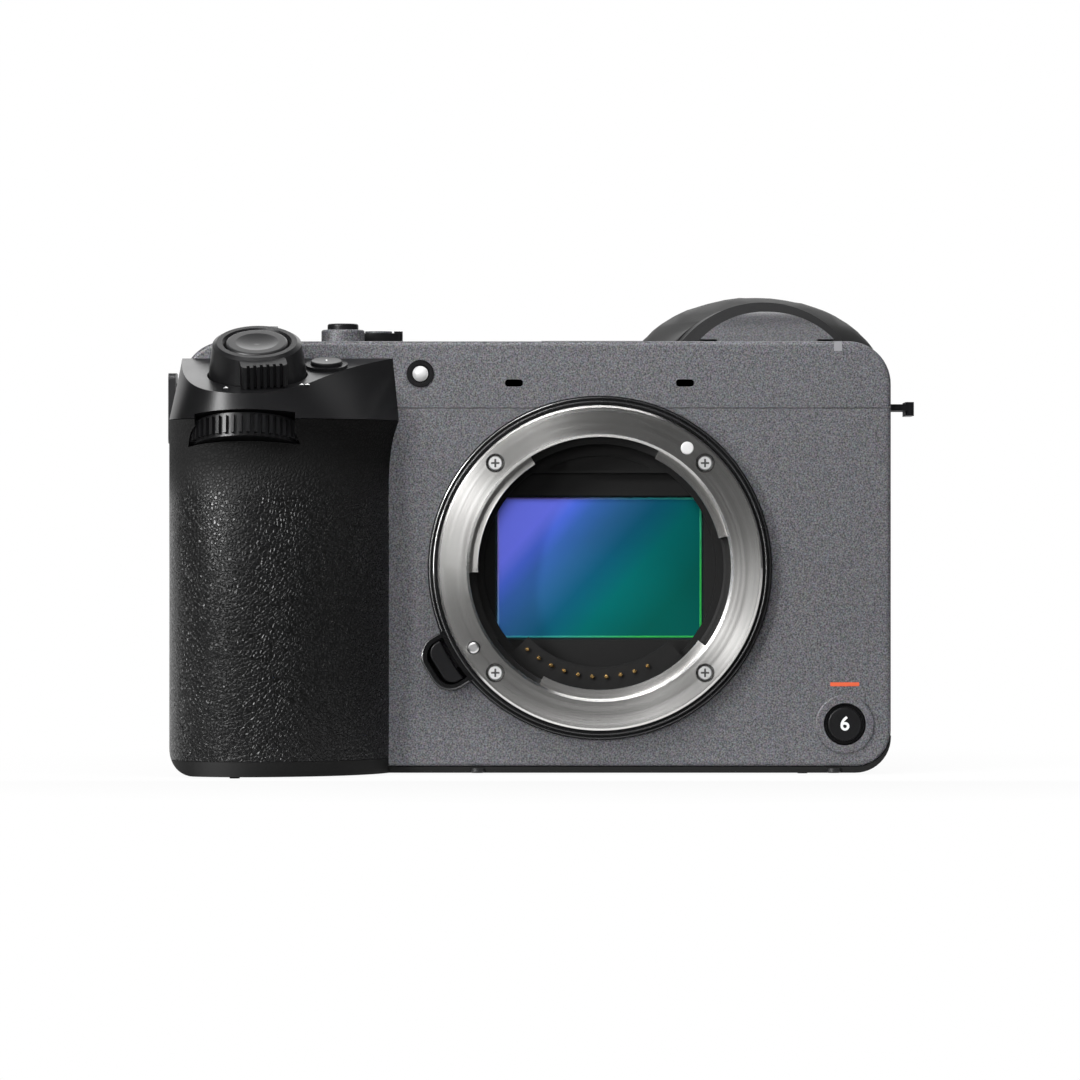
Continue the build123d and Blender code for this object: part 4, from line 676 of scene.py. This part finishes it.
def release_edge(reach, half, corner, start, y, width, rise):
    """A fine line standing along the open rim round the release button."""
    row = [(start, half, 90.0)]
    for turn in range(90, -1, -10):
        along, across = around(corner, math.radians(turn))
        row.append((reach - corner + along, half - corner + across, turn))
    row += [(along, -across, -turn) for along, across, turn in reversed(row)]
    turned = Matrix.Rotation(math.radians(-RELEASE_ANGLE), 3, "Y")
    sections = []
    for along, across, turn in row:
        side = Vector((math.cos(math.radians(turn)), 0, math.sin(math.radians(turn))))
        profile = [Vector((along, y - forward, across)) + side * out
                   for out, forward in half_round(width, rise)]
        sections.append([turned @ point + Vector((0, 0, MOUNT_Z)) for point in profile])
    return swept(sections)


# The rim line and the two beads round the surround wear a lighter black: a painted highlight along these
# edges.
rim_edge = release_edge(reach=35.9 * MM, half=5.0 * MM, corner=3.6 * MM, start=30.6 * MM, y=FRONT - 2.6 * MM,
                        width=0.32 * MM, rise=0.12 * MM)
piece("release_rim_edge", rim_edge, edge_highlight_plastic, "camera")
outer_bead = bead(SURROUND - 0.30 * MM, FRONT - 2.2 * MM, width=0.34 * MM, rise=0.16 * MM)
piece("surround_bead_outer", outer_bead, edge_highlight_plastic, "camera")
inner_bead = bead(SURROUND - 1.0 * MM, FRONT - 3.0 * MM, width=0.30 * MM, rise=0.12 * MM)
piece("surround_bead_inner", inner_bead, edge_highlight_plastic, "camera")


def seen(n):
    """1 for what the camera sees, straight or in a reflection, and 0 for light on matt surfaces."""
    path = n.add("ShaderNodeLightPath").outputs
    return n.maths("MAXIMUM", n.maths("MAXIMUM", path["Is Camera Ray"], path["Is Glossy Ray"]),
                   path["Is Transmission Ray"])


def sheet(name, segments, size):
    """A level square about the origin, its half side given."""
    bm = bmesh.new()
    bmesh.ops.create_grid(bm, x_segments=segments, y_segments=segments, size=size)
    return finished(bm, name)


def stage_floor():
    """A pale floor that the camera sees as near white and that still takes the shadow."""
    floor = in_scene("floor", sheet("floor", 8, 25.0))
    material = bpy.data.materials.new("pale floor")
    material.use_nodes = True
    n = Nodes(material.node_tree)
    share = seen(n)
    glow = n.add("ShaderNodeEmission", {"Color": (1, 1, 1, 1), "Strength": 1.0})
    cloth = n.add("ShaderNodeBsdfDiffuse", {"Color": (0.86, 0.86, 0.86, 1)})
    away = n.vectors("LENGTH", {0: n.add("ShaderNodeTexCoord").outputs["Object"]})["Value"]
    glow_share = n.maths("MULTIPLY", share, n.remap(away, 0.06, 0.16, 0.95, 1.0))
    blend = n.add("ShaderNodeMixShader", {0: glow_share, 1: cloth.outputs[0], 2: glow.outputs[0]})
    n.feed(material.node_tree.nodes["Material Output"], {0: blend.outputs[0]})
    floor.data.materials.append(material)


def pale_world():
    """White where it is seen, and dimmer as a light."""
    world = bpy.data.worlds.new("pale room")
    world.use_nodes = True
    bpy.context.scene.world = world
    n = Nodes(world.node_tree)
    strength = n.remap(seen(n), at_low=0.7, at_high=1.0)
    n.feed(world.node_tree.nodes["Background"], {"Strength": strength, "Color": (1, 1, 1, 1)})


def softbox(name, place, target, width, height, power, in_gloss=True, in_cloth=True):
    """A soft lamp that the camera looks past, and that gloss or cloth may be kept from."""
    lamp = bpy.data.lights.new(name, "AREA")
    lamp.shape = "RECTANGLE"
    lamp.size, lamp.size_y, lamp.energy = width, height, power
    holder = in_scene(name, lamp)
    holder.location = place
    holder.visible_camera = False
    holder.visible_glossy = in_gloss
    holder.visible_diffuse = in_cloth
    holder.rotation_euler = (Vector(target) - Vector(place)).to_track_quat("-Z", "Y").to_euler()


def dark_card(name, place, width, height, turn=0.0, tilt=90.0):
    """A studio flag: dark cloth that metal and gloss reflect, and that the camera looks past."""
    mesh = sheet(name, 2, 0.5)
    mesh.transform(Matrix.Diagonal((width, height, 1.0, 1.0)))
    card = in_scene(name, lay(mesh, place, tilt, turn))
    mesh.materials.append(card_cloth)
    card.visible_camera = False


stage_floor()
pale_world()
card_cloth = bpy.data.materials.new("card cloth")
card_cloth.use_nodes = True
card_cloth.node_tree.nodes["Principled BSDF"].inputs["Base Color"].default_value = (0.03, 0.03, 0.03, 1)
dark_card("front_card", (0.0, -1.75, 0.85), 3.2, 1.9)
dark_card("left_card", (-1.6, 0.3, 0.85), 4.4, 1.9, turn=90.0)
dark_card("right_card", (1.6, 0.0, 0.85), 3.8, 1.9, turn=90.0)
dark_card("ceiling_card", (0.0, -0.6, 1.9), 3.4, 2.6, tilt=0.0)
dark_card("floor_card", (0.0, -0.8575, 0.003), 2.6, 1.605, tilt=0.0)
MIDDLE = (0, 0, 0.04)
softbox("key", (-0.50, -0.85, 1.00), MIDDLE, 0.55, 0.40, 4.0)
softbox("ring_sweep", (-0.45, -0.85, 0.95), MIDDLE, 0.45, 0.30, 9.0, in_cloth=False)
softbox("ring_glint", (-1.00, -0.95, 0.60), MIDDLE, 0.45, 0.30, 42.0, in_cloth=False)
softbox("top", (-0.05, -0.35, 1.10), MIDDLE, 0.9, 0.35, 4.5)
softbox("near_top", (0.0, -0.12, 0.20), (0, -0.02, 0.05), 0.10, 0.04, 0.26, in_gloss=False)
softbox("front_fill", (-0.05, -1.40, 0.25), MIDDLE, 0.40, 0.30, 11.0, in_gloss=False)
softbox("grip_strip", (-0.70, -0.90, 0.12), (-0.065, -0.03, 0.04), 0.07, 0.30, 5.0)
softbox("back", (0.0, 0.80, 0.60), (0, 0, 0.05), 0.8, 0.4, 2.5)

# Camera where the photograph was taken from: level, and 5 mm over the lens axis
camera = in_scene("camera_view", bpy.data.cameras.new("camera_view"))
camera.data.sensor_width = 36.0
camera.data.lens = 222.8
camera.location = (-10.77 * MM, -1222.0 * MM, 42.1 * MM)
camera.rotation_euler = (math.radians(90), 0, 0)
bpy.context.scene.camera = camera
bpy.context.scene.view_settings.view_transform = "Standard"
